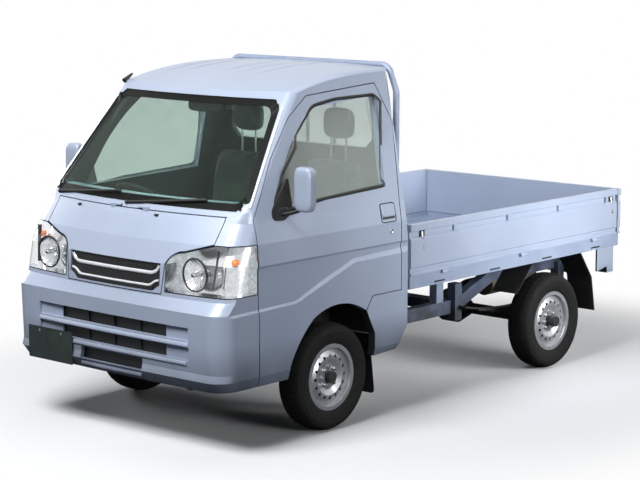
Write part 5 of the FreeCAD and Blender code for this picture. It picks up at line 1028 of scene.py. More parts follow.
@dataclass(frozen=True)
class DoorMirror(Sided):
    """One door mirror: a painted case, its glass and the black arm to the sail.

    Attributes:
        width: width of the case.
        height: height of the case.
        foot: where the arm leaves the sail, as X, station and height.
    """

    width: float = 0.105
    height: float = 0.214
    foot: tuple[float, float, float] = (0.690, -0.345, 1.130)

    def build(self) -> None:
        """Build the case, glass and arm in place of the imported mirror."""
        low, high = ends("mirror_" + self.side.word)
        half = np.array([self.width, high[1] - low[1], self.height]) / 2
        middle = np.array([max(high[0], -low[0]) - half[0], (low[1] + high[1]) / 2, high[2] - half[2]])
        case = pad(half, middle, 5.0, 1, 96)
        case.points[:, 1] -= 0.22 * half[1] * (case.points[:, 1] > middle[1] + 0.7 * half[1])
        glass = pad(half * [0.86, 0.12, 0.9], middle + [0, half[1] * 0.78, 0], 6.0, 1, 64)
        foot, base = spot(*self.foot), middle - [0.0, 0.0, half[2]]
        knots = np.array([foot, foot + [0.03, 0.008, -0.004], base + [-0.02, 0.004, 0.012], base + [0.01, 0.0, 0.05]])
        arm = swept(bead(0.03, 0.02, 16), smooth_through(knots), UP)
        shoe = pad((0.017, 0.04, 0.03), foot, 4.0, 0, 48)
        for name, shape, finish in (
            ("case", case, Paints.BODY), ("glass", glass, Paints.SILVERED), ("arm", arm, Paints.CHARCOAL),
            ("shoe", shoe, Paints.CHARCOAL),
        ):
            piece = self.fit("mirror_" + name, shape, finish, "side_door_" + self.side.word)
            if name != "shoe":
                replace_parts(piece, "mirror_" + self.side.word)


# Front


@dataclass(frozen=True)
class HeadLampWorks(Sided):
    """What shows through a head lamp's lens: its main bowl and bulb, the amber indicator, and the dark divider.

    Attributes:
        bowl: X, station and height of the middle of the main bowl.
        bowl_radius: radius of its mouth.
        bowl_depth: its depth.
        flutes: number and height of the waves in it.
        amber: place of the indicator's bulb.
        divider: X of the dark wall between the two chambers, and the heights of its ends.
    """

    bowl: tuple[float, float, float] = (0.520, -0.755, 0.862)
    bowl_radius: float = 0.078
    bowl_depth: float = 0.035
    flutes: tuple[int, float] = (24, 0.0012)
    amber: tuple[float, float, float] = (0.683, -0.652, 0.925)
    divider: tuple[float, float, float] = (0.618, 0.80, 0.985)

    def build(self) -> None:
        """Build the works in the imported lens."""
        middle = spot(*self.bowl)
        share = np.linspace(0, 1, 24)
        profile = np.stack([self.bowl_depth * (1 - share**2), self.bowl_radius * share], axis=1)
        fluted = turned(profile, middle, 1, 72)
        angle = np.arctan2(fluted.points[:, 0] - middle[0], fluted.points[:, 2] - middle[2])
        fluted.points[:, 1] += self.flutes[1] * np.cos(self.flutes[0] * angle)
        turn = np.linspace(0, 2 * np.pi, 64, endpoint=False)
        mouth = middle + self.bowl_radius * np.stack([np.cos(turn), 0 * turn, np.sin(turn)], axis=1)
        bulb = ((-0.020, 0.0), (-0.020, 0.007), (-0.014, 0.012), (0.01, 0.012), (0.035, 0.009), (0.035, 0.0))
        across, low, high = self.divider
        height = np.linspace(low, high, 12)
        rise = height - low
        wall = np.stack([across + 0.02 * rise / (high - low), station(-0.735 + 0.12 * rise), height], axis=1)
        for name, shape, finish in (
            ("bowl", fluted, Paints.REFLECTOR),
            ("bezel", swept(bead(0.008, 0.012), mouth, -BACK, True), Paints.CHARCOAL),
            ("bulb", turned(bulb, middle, 1, 24), Paints.ZINC),
            ("indicator", pad((0.016, 0.022, 0.016), spot(*self.amber), 2.4, 1, 32), Paints.AMBER),
            ("divider", swept(bead(0.007, 0.02), wall, np.array([0.4, -1.0, 0.0])), Paints.CHARCOAL),
        ):
            self.fit("lamp_" + name, shape, finish)


@dataclass(frozen=True)
class GrilleTrim:
    """The two pale strips of the grille: shallow U shapes with raised ends.

    Attributes:
        strips: for each strip, half of its line as X and Z from the middle outwards.
        widths: the strips' widths.
        bend: how far from its corner each bend starts.
    """

    strips: tuple = (
        ((0.0, 0.848), (0.265, 0.848), (0.300, 0.866), (0.305, 0.885)),
        ((0.0, 0.786), (0.250, 0.786), (0.285, 0.812), (0.308, 0.814)),
    )
    widths: tuple[float, float] = (0.018, 0.013)
    bend: float = 0.016

    def build(self) -> None:
        """Build the strips on the grille."""
        skin = Skin("grille", 1, -1)
        for number, (half, width) in enumerate(zip(self.strips, self.widths)):
            line = np.array(half)
            whole = np.concatenate([line[:0:-1] * [-1.0, 1.0], line])
            placed = skin.lay(spaced(rounded(whole, self.bend, 5, closed=False), 60), 0.002)
            placed[:, 1] = np.minimum(placed[:, 1], np.polyval(np.polyfit(placed[:, 0], placed[:, 1], 2), placed[:, 0]))
            strip = swept(bead(width, 0.009), placed, np.array([0.0, -1.0, 0.15]))
            build(f"grille_strip_{number + 1}", strip, Paints.BRIGHT, "service_hood")


@dataclass(frozen=True)
class BumperTrim:
    """The rounded beads along the bumper's bars and its lower lip, and the screws of its blank plate.

    Attributes:
        beads: name, height, half width and thickness of each bead.
        screws: X of each screw.
        screw_height: their height.
    """

    beads: tuple = (
        ("upper_bar", 0.536, 0.530, 0.024), ("lower_bar", 0.446, 0.515, 0.022), ("lip", 0.352, 0.215, 0.030),
    )
    screws: tuple[float, float] = (-0.52, -0.36)
    screw_height: float = 0.470

    def build(self) -> None:
        """Build the beads on the bumper and the screws on the plate."""
        skin = Skin("front_bumper", 1, -1)
        for name, height, half, thick in self.beads:
            placed = skin.lay(np.stack([np.linspace(-half, half, 49), np.full(49, height)], axis=1), -0.002)
            placed[:, 1] = np.polyval(np.polyfit(placed[:, 0], placed[:, 1], 4), placed[:, 0])
            build("bumper_" + name, swept(bead(thick, 0.014, 16), placed, np.array([0.0, -1.0, 0.25])), Paints.BODY)
        head = ((0.0, 0.0), (-0.0025, 0.003), (-0.002, 0.006), (0.001, 0.007), (0.001, 0.0))
        for number, across in enumerate(self.screws):
            place = (across, ends("number_plates")[0][1], self.screw_height)
            build(f"front_plate_screw_{number + 1}", turned(head, place, 1, 24), Paints.ZINC)


@dataclass(frozen=True)
class HoodTrim:
    """The washer nozzles on the hood, and the antenna above the screen's far corner.

    Attributes:
        nozzles: X and Z of each nozzle.
        root_radius: the antenna's radius at its root.
        taper: share of it that is gone at the tip.
    """

    nozzles: tuple = ((-0.378, 1.108), (0.195, 1.108))
    root_radius: float = 0.0135
    taper: float = 0.62

    def build(self) -> None:
        """Build the nozzles on the hood's skin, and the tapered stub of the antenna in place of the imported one."""
        low, high = ends("antenna")
        root = np.array([(low[0] + high[0]) / 2, low[1] + 0.016, low[2] + 0.006])
        tip = np.array([root[0], high[1] - 0.002, high[2] - 0.004])
        share = np.linspace(0, 1, 9)[:, None]
        radius = self.root_radius * (1 - self.taper * share) * np.where(share > 0.95, 0.6, 1.0)
        turn = np.linspace(0, 2 * np.pi, 20, endpoint=False)[:, None]
        across = np.array([1.0, 0.0, 0.0])
        around = across * np.cos(turn) + np.cross(unit(tip - root), across) * np.sin(turn)
        path = root + (tip - root) * share
        stub = grid(path[:, None] + radius[:, None] * around[None], wrap_columns=True, capped=True)
        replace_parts(build("antenna_stub", stub, Paints.CHARCOAL), "antenna")
        for number, place in enumerate(Skin("hood", 1, -1).lay(np.array(self.nozzles))):
            nozzle = pad((0.013, 0.011, 0.006), place, 3.0, 2, 32)
            build(f"washer_nozzle_{number + 1}", nozzle, Paints.CHARCOAL, "service_hood")


# Wheels


@dataclass(frozen=True)
class Wheel(Sided):
    """One wheel's tyre with its tread, and the nuts, cap and valve on its rim.

    Attributes:
        row: front or rear.
        half_width: half of the tyre's width.
        outer_radius: the tyre's radius.
        bead_radius: where the tyre meets the rim.
        fullness: how square its section is, where 2 is an ellipse.
        reach: the angle from the top of its section at which that ends on either side, in radians.
        tuck: share by which the section narrows for each radian below its widest place.
        groove_depth: depth of the tread's grooves.
        groove_width: half the width of a groove.
        groove_places: places of the four grooves across the tread.
        crown_depth: how far below the tread's top anything is cut.
        shoulder: distance from the tyre's middle at which the cuts across its shoulders start.
        blocks_to: distance from the tyre's middle to which the cuts between the grooves go.
        sipe_count: number of cuts round each shoulder.
        rib_count: number of cuts round the middle.
        slant: how much the cuts lean, in radians of their wave for each metre across.
        ring_height: height of the fine rings on the side walls.
        ring_spacing: spacing of those rings.
        wall_depth: how far below the tread's top the rings start.
        nut_circle: radius of the circle that the nuts stand on.
        nut_count: number of nuts.
        valve_circle: radius of the circle that the valve stands on.
        valve_turn: its angle on that circle.
    """

    row: str
    half_width: float = 0.0725
    outer_radius: float = 0.2708
    bead_radius: float = 0.1685
    fullness: float = 2.9
    reach: float = 2.15
    tuck: float = 0.22
    groove_depth: float = 0.006
    groove_width: float = 0.0026
    groove_places: tuple[float, ...] = (-0.038, -0.0135, 0.0135, 0.038)
    crown_depth: float = 0.012
    shoulder: float = 0.044
    blocks_to: float = 0.034
    sipe_count: int = 66
    rib_count: int = 44
    slant: float = 9.0
    ring_height: float = 0.0011
    ring_spacing: float = 0.016
    wall_depth: float = 0.02
    nut_circle: float = 0.050
    nut_count: int = 4
    valve_circle: float = 0.140
    valve_turn: float = 2.2

    @property
    def name(self) -> str:
        """Give the wheel's name as the node names have it."""
        return f"{self.row}_{self.side.word}"

    def build(self) -> None:
        """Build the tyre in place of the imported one, and the small pieces on the rim's outer face."""
        body = "wheel_" + self.name
        low, high = ends("tyre_" + self.name)
        hub = (low + high) / 2
        tyre = build("tread_tyre_" + self.name, self.tyre(hub), Paints.TYRE, body, smooth_degrees=50)
        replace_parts(tyre, "tyre_" + self.name)
        face = np.array([self.face_depth(hub), hub[1], hub[2]])
        rim = max(abs(corner[0]) for corner in ends("rim_" + self.name))
        turn = (np.arange(self.nut_count) + 0.5) * 2 * np.pi / self.nut_count
        hexagon = ((-0.004, 0.0), (-0.004, 0.0125), (0.0, 0.0105), (0.010, 0.0105), (0.013, 0.008), (0.014, 0.0))
        nuts = [turned(hexagon, face + self.nut_circle * self.spoke(angle), 0, 6) for angle in turn]
        cap = ((-0.004, 0.0), (-0.004, 0.030), (0.006, 0.029), (0.018, 0.026), (0.021, 0.022), (0.022, 0.0))
        valve = ((-0.03, 0.0), (-0.03, 0.0055), (-0.012, 0.005), (-0.010, 0.0035), (-0.001, 0.0035), (0.0, 0.0))
        valve_place = np.array([rim - 0.004, hub[1], hub[2]]) + self.valve_circle * self.spoke(self.valve_turn)
        self.fit("wheel_nuts_" + self.row, nuts[0].joined(*nuts[1:]), Paints.ZINC, body, 0.0008)
        self.fit("hub_cap_" + self.row, turned(cap, face, 0, 40), Paints.CHARCOAL, body)
        self.fit("tyre_valve_" + self.row, turned(valve, valve_place, 0, 16), Paints.SEAL, body)

    def spoke(self, angle: float) -> np.ndarray:
        """Give the way from the hub at an angle round the axle."""
        return np.array([0.0, np.cos(angle), np.sin(angle)])

    def tyre(self, hub: np.ndarray) -> Shape:
        """Work out the tyre: a superellipse section whose crown is cut by grooves and by sipes at its shoulders.

        The section's point at angle a is (half_width * sin(a)^p, middle + height * cos(a)^p), with a greater height
        below the middle, so that it ends at the rim. The cut is a sum of narrow bells at the groove places, and
        round the wheel it is the top of a steep wave, clipped to be flat.

        Args:
            hub: the middle of the wheel.

        Returns:
            The tyre's surface.
        """
        bend = np.linspace(-self.reach, self.reach, 73)
        power = 2 / self.fullness
        middle = (self.outer_radius + self.bead_radius) / 2 + 0.004
        rise, fall = self.outer_radius - middle, (middle - self.bead_radius) / abs(np.cos(bend[-1])) ** power
        narrowed = 1 - self.tuck * np.maximum(abs(bend) - np.pi / 2, 0)
        lateral = self.half_width * full(np.sin(bend), power) * narrowed
        radial = middle + np.where(np.cos(bend) > 0, rise, fall) * full(np.cos(bend), power)
        crown, wall = radial > self.outer_radius - self.crown_depth, radial < self.outer_radius - self.wall_depth
        bells = np.exp(-((lateral[:, None] - np.array(self.groove_places)) / self.groove_width) ** 2).sum(axis=1)
        rings = self.ring_height * (wall * np.cos((radial - self.bead_radius) * 2 * np.pi / self.ring_spacing) - 1)
        angle = np.linspace(0, 2 * np.pi, 264, endpoint=False)[:, None]
        lean, off_middle = lateral[None, :] * self.slant, abs(lateral)
        sipes = np.clip(np.cos(self.sipe_count * angle + lean) * 3 - 1.9, 0, 1) * (crown & (off_middle > self.shoulder))
        within = crown & (off_middle < self.blocks_to)
        ribs = np.clip(np.cos(self.rib_count * angle - lean * 3) * 3 - 2.2, 0, 1) * within
        radius = radial[None, :] - self.groove_depth * np.minimum(bells * crown + 0.8 * sipes + 0.6 * ribs, 1)
        width = np.broadcast_to(lateral + np.sign(lateral) * rings, radius.shape)
        points = hub + np.stack([width, radius * np.cos(angle), radius * np.sin(angle)], axis=-1)
        return grid(points, wrap_rows=True, wrap_columns=True)

    def face_depth(self, hub: np.ndarray) -> float:
        """Find how far from the truck's middle the rim's disc stands at the circle of the nuts."""
        skin = Skin("rim_" + self.name, 0, self.side.value)
        ring = np.array([(hub + self.nut_circle * self.spoke(number * np.pi / 6))[1:] for number in range(12)])
        return abs(float(np.median(skin.lay(ring)[:, 0])))


@dataclass(frozen=True)
class FrontFlap(Sided):
    """The rubber flap that hangs behind one front wheel.

    Attributes:
        across: its inner and outer edge, as X.
        upright: its lower and upper edge.
        lean: how far its lower edge stands behind its upper one.
        place: station of its upper edge.
        thickness: how thick the rubber is.
    """

    across: tuple[float, float] = (0.500, 0.664)
    upright: tuple[float, float] = (0.112, 0.430)
    lean: float = 0.040
    place: float = 0.342
    thickness: float = 0.005

    def build(self) -> None:
        """Build the flap with rounded corners."""
        (inner, outer), (low, high) = self.across, self.upright
        flat = rounded(np.array([(inner, high), (outer, high), (outer, low), (inner, low)]), 0.025, 5)
        back = station(self.place + self.lean * (high - flat[:, 1]) / (high - low))
        outline = np.stack([flat[:, 0], back, flat[:, 1]], axis=1)
        self.fit("front_mud_flap", plate(outline, self.thickness * BACK), Paints.FLAP)


# Cargo bed and tail


@dataclass(frozen=True)
class RearLamp(Sided):
    """One rear lamp's three lenses on its case.

    Attributes:
        lenses: colour, finish and share of the height of each lens, from the top.
        outer: X of their outer edge.
        size: their width and depth.
        upright: the lowest and highest point of the three.
        flute: height and spacing of the waves in them.
    """

    lenses: tuple = (("red", Paints.RED, 0.46), ("amber", Paints.AMBER, 0.27), ("clear", Paints.LENS, 0.27))
    outer: float = 0.686
    size: tuple[float, float] = (0.070, 0.006)
    upright: tuple[float, float] = (0.476, 0.612)
    flute: tuple[float, float] = (0.0008, 0.007)

    def build(self) -> None:
        """Build the lenses on the case's rear face, and the bright bowl behind the clear one."""
        rear = ends("rear_lamps")[1][1]
        (bottom, level), (width, depth) = self.upright, self.size
        tall, across = level - bottom, self.outer - width / 2
        for colour, finish, share in self.lenses:
            height = tall * share
            middle = np.array([across, rear + 0.001, level - height / 2])
            lens = pad((width / 2, depth, height / 2 - 0.0015), middle, 7.0, 1, 64)
            waves = self.flute[0] * np.cos(lens.points[:, 0] * 2 * np.pi / self.flute[1])
            lens.points[:, 1] += waves * (lens.points[:, 1] > middle[1])
            self.fit("tail_lens_" + colour, lens, finish)
            level -= height
        behind = (across, rear - 0.004, bottom + height / 2)
        bowl = pad((width / 2 - 0.004, 0.003, height / 2 - 0.004), behind, 7.0, 1, 32)
        self.fit("tail_bowl", bowl, Paints.REFLECTOR)


@dataclass(frozen=True)
class GateLatch(Sided):
    """One drop latch that holds a side gate at an end: a backing plate, a bent lever and its pivot.

    Attributes:
        end: which end of the gate it is on, front or rear.
        place: its station behind the front axle.
        height: height of its pivot.
        backing: half the width, the bottom and the top of its backing plate.
        lever: for each bend of the lever, how far it stands out and back, and its height.
    """

    end: str
    place: float
    height: float = 0.890
    backing: tuple[float, float, float] = (0.022, 0.850, 0.935)
    lever: tuple = (
        (0.0045, 0.0, 0.925), (0.008, 0.0, 0.895), (0.009, 0.0, 0.872), (0.0095, 0.004, 0.846), (0.011, 0.010, 0.828),
    )

    def build(self) -> None:
        """Build the latch on the gate's outer face."""
        y, out = station(self.place), np.array([1.0, 0.0, 0.0])
        half, low, high = self.backing
        corners = np.array([(y - half, low), (y - half, high), (y + half, high), (y + half, low)])
        base = Skin("gate_" + self.side.word, 0, self.side.value).lay(rounded(corners, 0.008, 4))
        face = base[:, 0] = abs(base[:, 0]).min()
        knots = np.array(self.lever) + [face, y, 0.0]
        pivot = ((0.0, 0.0), (0.0, 0.009), (0.009, 0.0085), (0.0115, 0.006), (0.0115, 0.0))
        for name, shape, finish, bevel in (
            ("plate", plate(base, 0.0035 * out), Paints.CHARCOAL, 0.001),
            ("lever", swept(bead(0.015, 0.0055), smooth_through(knots, 6), out), Paints.ZINC, 0.0),
            ("pivot", turned(pivot, (face, y, self.height), 0, 24), Paints.ZINC, 0.0),
        ):
            self.fit(f"latch_{name}_{self.end}", shape, finish, "side_gate_" + self.side.word, bevel)


# Cab interior


@dataclass(frozen=True)
class Seat(Sided):
    """One seat: its squab, back and head pad in woven cloth, and the posts of the head pad.

    Attributes:
        centre: X of the seat's middle.
        pads: for each pad its name, half sizes, station and height of its middle, fullness and thin axis.
        lean: how far the back leans for each metre of height.
        posts: X of each post from the middle, their station, and the heights that they pass.
        voxel: size of the even mesh that is stuffed.
        pressure: the cloth simulation's pressure.
        frames: number of frames that it runs.
        cap: how far a point may swell.
        fill: how tight the pads are stuffed; not used.
    """

    centre: float = 0.320
    pads: tuple = (
        ("squab", (0.212, 0.205, 0.052), (0.160, 0.728), 5.0, 2),
        ("back", (0.208, 0.036, 0.268), (0.428, 1.030), 5.0, 1),
        ("head_pad", (0.098, 0.030, 0.080), (0.500, 1.474), 3.6, 1),
    )
    lean: float = 0.17
    posts: tuple = ((-0.05, 0.05), 0.498, (1.26, 1.34, 1.43))
    voxel: float = 0.008
    pressure: float = 4.0
    frames: int = 14
    cap: float = 0.016
    fill: float = 0.75

    def build(self) -> None:
        """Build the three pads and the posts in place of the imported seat."""
        pieces = []
        for name, half, (behind, height), fullness, thin in self.pads:
            shape = pad(half, spot(self.centre, behind, height), fullness, thin, 72)
            if name == "back":
                shape.points[:, 1] += self.lean * (shape.points[:, 2] - height)
            piece = self.stuffed(f"seat_{name}_{self.side.word}", shape.on_side(self.side))
            pieces.append(piece)
        places, behind, heights = self.posts
        left, right = (
            swept(bead(0.011, 0.011, 12, 2.0), np.array([spot(self.centre + x, behind, z) for z in heights]), BACK)
            for x in places
        )
        pieces.append(self.fit("seat_head_posts", left.joined(right), Paints.ZINC))
        for piece in pieces:
            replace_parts(piece, "seat_" + self.side.word)

    def stuffed(self, name: str, shape: Shape) -> bpy.types.Object:
        """Swell a pad by a cloth simulation with pressure, no point by more than the cap, and apply it.

        Args:
            name: the pad's name.
            shape: the pad before it is stuffed.

        Returns:
            The stuffed pad.
        """
        piece = build(name, shape, Paints.CLOTH, smooth_degrees=180)
        remesh = piece.modifiers.new("even_mesh", "REMESH")
        remesh.mode = "VOXEL"
        remesh.voxel_size = self.voxel
        self.apply(piece)
        start = self.places(piece)
        cloth = piece.modifiers.new("stuffing", "CLOTH").settings
        cloth.use_pressure = True
        cloth.uniform_pressure_force = self.pressure
        cloth.effector_weights.gravity = 0.0
        cloth.quality = 4
        scene = bpy.context.scene
        for frame in range(1, self.frames + 1):
            scene.frame_set(frame)
        self.apply(piece)
        scene.frame_set(1)
        moved = self.places(piece) - start
        length = np.linalg.norm(moved, axis=1, keepdims=True)
        capped = start + moved * np.minimum(1.0, self.cap / np.maximum(length, 1e-9))
        piece.data.vertices.foreach_set("co", capped.ravel())
        piece.data.update()
        piece.data.shade_smooth()
        modifier = piece.modifiers.new("softening", "SUBSURF")
        modifier.levels = modifier.render_levels = 1
        return piece

    def places(self, piece: bpy.types.Object) -> np.ndarray:
        """Read the points of a piece's mesh."""
        values = np.empty(len(piece.data.vertices) * 3)
        piece.data.vertices.foreach_get("co", values)
        return values.reshape(-1, 3)

    def apply(self, piece: bpy.types.Object) -> None:
        """Turn what a piece's modifiers give into its own mesh."""
        graph = bpy.context.evaluated_depsgraph_get()
        graph.update()
        mesh = bpy.data.meshes.new_from_object(piece.evaluated_get(graph))
        piece.modifiers.clear()
        mesh.materials.clear()
        mesh.materials.append(Paints.CLOTH.material())
        piece.data = mesh


@dataclass(frozen=True)
class CabinTrim:
    """The dash's vents and instrument hood, the column's stalks, the inner mirror and the sun visors.

    Attributes:
        wheel_x: X of the steering wheel's middle.
        vents: X of each round vent on the dash.
        vent_drop: how far their middles are below the dash's top.
        mirror: X, station and height of the inner mirror.
        visor: the same of a sun visor.
    """

    wheel_x: float = -0.320
    vents: tuple[float, ...] = (-0.56, -0.07, 0.07, 0.56)
    vent_drop: float = 0.085
    mirror: tuple[float, float, float] = (0.0, -0.165, 1.590)
    visor: tuple[float, float, float] = (0.31, -0.045, 1.655)

    def build(self) -> None:
        """Build the pieces of the cab's inside."""
        _, rear, top = ends("dashboard")[1]
        level = top - self.vent_drop
        ring = ((0.0, 0.026), (0.004, 0.034), (0.0, 0.036), (-0.010, 0.036), (-0.010, 0.026))
        rings = [turned(ring, (x, rear, level), 1, 40, ring=True) for x in self.vents]
        slats = [
            swept(
                bead(0.020, 0.0025, 8),
                np.array([(x + end, rear - 0.004, level + rise) for end in (-0.026, 0.026)]), np.array([0.0, 0.3, 1.0]),
            )
            for x in self.vents for rise in (-0.014, 0.0, 0.014)
        ]
        hood = pad((0.17, 0.075, 0.035), (self.wheel_x, rear - 0.095, top + 0.004), 3.4, 2, 72)
        stalks = [
            swept(bead(0.010, 0.008, 10, 2.2), smooth_through(np.array([
                (self.wheel_x, rear + 0.035, 1.010), (self.wheel_x + reach / 2, rear + 0.030, 1.018),
                (self.wheel_x + reach, rear + 0.038, 1.022),
            ]), 6), UP)
            for reach in (-0.15, 0.15)
        ]
        mirror = spot(*self.mirror)
        stem = smooth_through(mirror + np.array([(0.0, 0.0, 0.0), (0.0, -0.006, 0.04), (0.0, 0.010, 0.085)]), 6)
        for name, shape, finish in (
            ("dash_vent_rings", rings[0].joined(*rings[1:]), Paints.CHARCOAL),
            ("dash_vent_slats", slats[0].joined(*slats[1:]), Paints.CHARCOAL),
            ("instrument_hood", hood, Paints.DASH),
            ("column_stalks", stalks[0].joined(stalks[1]), Paints.CHARCOAL),
            ("inner_mirror_case", pad((0.105, 0.014, 0.032), mirror, 4.0, 1, 64), Paints.CHARCOAL),
            ("inner_mirror_glass", pad((0.098, 0.003, 0.026), mirror + 0.013 * BACK, 5.0, 1, 48), Paints.SILVERED),
            ("inner_mirror_stem", swept(bead(0.014, 0.012, 12, 2.2), stem, BACK), Paints.CHARCOAL),
        ):
            build(name, shape, finish)
        for side in Side:
            place = spot(*self.visor)
            visor = pad((0.18, 0.065, 0.008), place, 5.0, 2, 64)
            visor.points[:, 2] += 0.25 * (visor.points[:, 1] - place[1])
            Sided(side).fit("sun_visor", visor, Paints.HEADLINING)


# Studio


@dataclass(frozen=True)
class Softbox:
    """One soft rectangular lamp.

    Attributes:
        name: its name.
        place: where it hangs.
        aim: what it points at.
        size: its width and height.
        power: its power in watts.
        spread: the full angle of its beam in degrees. A narrow one keeps its light off the floor.
    """

    name: str
    place: tuple[float, float, float]
    aim: tuple[float, float, float]
    size: tuple[float, float]
    power: float
    spread: float = 180.0

    def hang(self) -> None:
        """Hang the lamp."""
        data = bpy.data.lights.new(self.name, "AREA")
        data.shape = "RECTANGLE"
        data.size, data.size_y = self.size
        data.energy = self.power
        data.spread = math.radians(self.spread)
        stand(bpy.data.objects.new(self.name, data), self.place, self.aim)


def stand(thing: bpy.types.Object, place: tuple, aim: tuple) -> None:
    """Stand a camera or a lamp at a place, pointed at its aim."""
    thing.location = place
    thing.rotation_euler = (Vector(aim) - Vector(place)).to_track_quat("-Z", "Y").to_euler()
    bpy.context.collection.objects.link(thing)


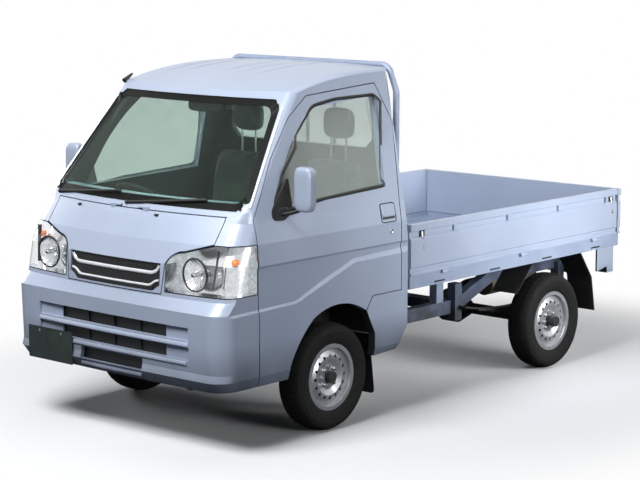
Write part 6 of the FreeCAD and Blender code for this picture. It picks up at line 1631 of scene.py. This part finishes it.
@dataclass(frozen=True)
class Studio:
    """The pale floor, the soft lamps and the camera at the photograph's angle.

    Attributes:
        eye: where the camera stands.
        aim: what it looks at.
        lens_mm: its focal length on a 36 mm sensor.
        floor_reach: half the floor's width.
        bright_from: distance from the truck's middle at which the floor starts to turn plain white.
        bright_at: distance at which it has turned.
        lamps: the soft lamps.
    """

    eye: tuple[float, float, float] = (6.885, -7.9245, 2.436)
    aim: tuple[float, float, float] = (0.0, -0.1525, 0.801)
    lens_mm: float = 108.9
    floor_reach: float = 90.0
    bright_from: float = 1.3
    bright_at: float = 2.5
    lamps: tuple[Softbox, ...] = (
        Softbox("key_softbox", (0.4, -5.2, 5.8), (0.0, -0.9, 0.9), (3.2, 2.4), 570.0),
        Softbox("side_softbox", (3.6, 1.5, 1.5), (0.7, 1.1, 0.92), (1.8, 0.8), 19.0, 54.0),
        Softbox("door_softbox", (6.2, -1.4, 2.2), (0.7, -0.6, 1.3), (2.4, 1.6), 17.0, 50.0),
        Softbox("top_softbox", (0.3, 1.6, 6.0), (0.0, 1.0, 0.5), (3.0, 3.0), 30.0),
        Softbox("fill_softbox", (-6.8, 0.6, 2.3), (-0.6, 0.2, 1.1), (4.0, 1.8), 22.0, 50.0),
        Softbox("rear_softbox", (-0.6, 8.0, 2.6), (-0.2, 1.5, 1.1), (4.0, 1.8), 30.0, 50.0),
    )

    def build(self) -> None:
        """Make the camera, the floor, the world and the lamps."""
        data = bpy.data.cameras.new("photo_camera")
        data.lens = self.lens_mm
        data.sensor_width = 36.0
        data.clip_end = 400.0
        camera = bpy.data.objects.new("photo_camera", data)
        stand(camera, self.eye, self.aim)
        bpy.context.scene.camera = camera
        bpy.context.scene.view_settings.view_transform = "Standard"
        self.floor()
        self.world()
        for lamp in self.lamps:
            lamp.hang()

    def floor(self) -> None:
        """Lay a wide pale floor that keeps the truck's shadow near it and is plain white further out. To bounced light
        and to reflections it is dark grey, a painted shade that the body's lower panels reflect.
        """
        reach = self.floor_reach
        mesh = bpy.data.meshes.new("studio_floor")
        corners = [(-reach, -reach, 0.0), (reach, -reach, 0.0), (reach, reach, 0.0), (-reach, reach, 0.0)]
        mesh.from_pydata(corners, [], [(0, 1, 2, 3)])
        floor = bpy.data.objects.new("studio_floor", mesh)
        bpy.context.collection.objects.link(floor)
        material = bpy.data.materials.new("white_painted_floor")
        material.use_nodes = True
        tree = material.node_tree
        shader = tree.nodes["Principled BSDF"]
        shader.inputs["Base Color"].default_value = linear("E4E6E8")
        shader.inputs["Roughness"].default_value = 0.9
        shader.inputs["Specular IOR Level"].default_value = 0.0
        place = add_node(tree, "ShaderNodeTexCoord").outputs["Object"]
        squashed = add_node(tree, "ShaderNodeMapping", {"Scale": (1.0, 0.72, 1.0)}, {"Vector": place})
        distance = add_node(tree, "ShaderNodeVectorMath", {"operation": "LENGTH"}, {0: squashed}).outputs["Value"]
        far = add_node(
            tree, "ShaderNodeMapRange",
            {"interpolation_type": "SMOOTHSTEP", "From Min": self.bright_from, "From Max": self.bright_at},
            {"Value": distance},
        )
        share = add_node(tree, "ShaderNodeMath", {"operation": "MULTIPLY"}, {0: far, 1: self.looked_at(tree)})
        white = add_node(tree, "ShaderNodeEmission", {"Color": linear("FFFFFF"), "Strength": 1.0})
        mixed = add_node(tree, "ShaderNodeMixShader", links={0: share, 1: shader, 2: white})
        # To diffuse bounces the floor is dark grey, so it lights the truck less; to reflections it is the same dark
        # grey, a painted shade in the body's reflections of the floor.
        dull = add_node(tree, "ShaderNodeBsdfDiffuse", {"Color": linear("4A4E54")})
        path = add_node(tree, "ShaderNodeLightPath")
        glossy, through = path.outputs["Is Glossy Ray"], path.outputs["Is Transmission Ray"]
        mirrored = add_node(tree, "ShaderNodeMath", {"operation": "SUBTRACT"}, {0: glossy, 1: through})
        bounced = add_node(
            tree, "ShaderNodeMath", {"operation": "MAXIMUM"}, {0: path.outputs["Is Diffuse Ray"], 1: mirrored}
        )
        final = add_node(tree, "ShaderNodeMixShader", links={0: bounced, 1: mixed, 2: dull})
        tree.links.new(final.outputs["Shader"], tree.nodes["Material Output"].inputs["Surface"])
        mesh.materials.append(material)

    def looked_at(self, tree: bpy.types.NodeTree) -> bpy.types.NodeSocket:
        """Give 1 for rays from the camera, a reflection or a pane, and 0 once they have met a dull surface."""
        path = add_node(tree, "ShaderNodeLightPath")
        seen = path.outputs["Is Camera Ray"]
        for name in ("Is Glossy Ray", "Is Transmission Ray"):
            both = add_node(tree, "ShaderNodeMath", {"operation": "MAXIMUM"}, {0: seen, 1: path.outputs[name]})
            seen = both.outputs["Value"]
        fresh = add_node(tree, "ShaderNodeMath", {"operation": "LESS_THAN", 1: 0.5}, {0: path.outputs["Diffuse Depth"]})
        direct = add_node(tree, "ShaderNodeMath", {"operation": "MULTIPLY"}, {0: seen, 1: fresh})
        return direct.outputs["Value"]

    def world(self) -> None:
        """Show white to the camera, to reflections and through glass, and a softer grey to everything else."""
        world = bpy.data.worlds.new("studio_world")
        bpy.context.scene.world = world
        world.use_nodes = True
        tree = world.node_tree
        soft = add_node(tree, "ShaderNodeBackground", {"Color": linear("DDE2EA"), "Strength": 0.035})
        white = add_node(tree, "ShaderNodeBackground", {"Color": linear("FFFFFF"), "Strength": 1.0})
        mixed = add_node(tree, "ShaderNodeMixShader", links={0: self.looked_at(tree), 1: soft, 2: white})
        tree.links.new(mixed.outputs["Shader"], tree.nodes["World Output"].inputs["Surface"])


def corners(box: tuple) -> list[list[float]]:
    """Turn a box's two corners into plain lists of numbers."""
    return [[float(value) for value in corner] for corner in box]


def main() -> None:
    """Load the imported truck, dress it piece by piece, and set the studio."""
    logging.basicConfig(level=logging.INFO, format="%(message)s")
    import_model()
    Studio().build()
    Dresser().dress()
    for trim in (ScreenTrim(), GrilleTrim(), BumperTrim(), HoodTrim(), CabinTrim()):
        trim.build()
    for side in Side:
        for group in (
            DoorTrim(side), DoorMirror(side), HeadLampWorks(side), FrontFlap(side), RearLamp(side), Seat(side),
            GateLatch(side, "front", 0.700), GateLatch(side, "rear", 2.470), Wheel(side, "front"), Wheel(side, "rear"),
        ):
            group.build()


if __name__ == "__main__":
    main()
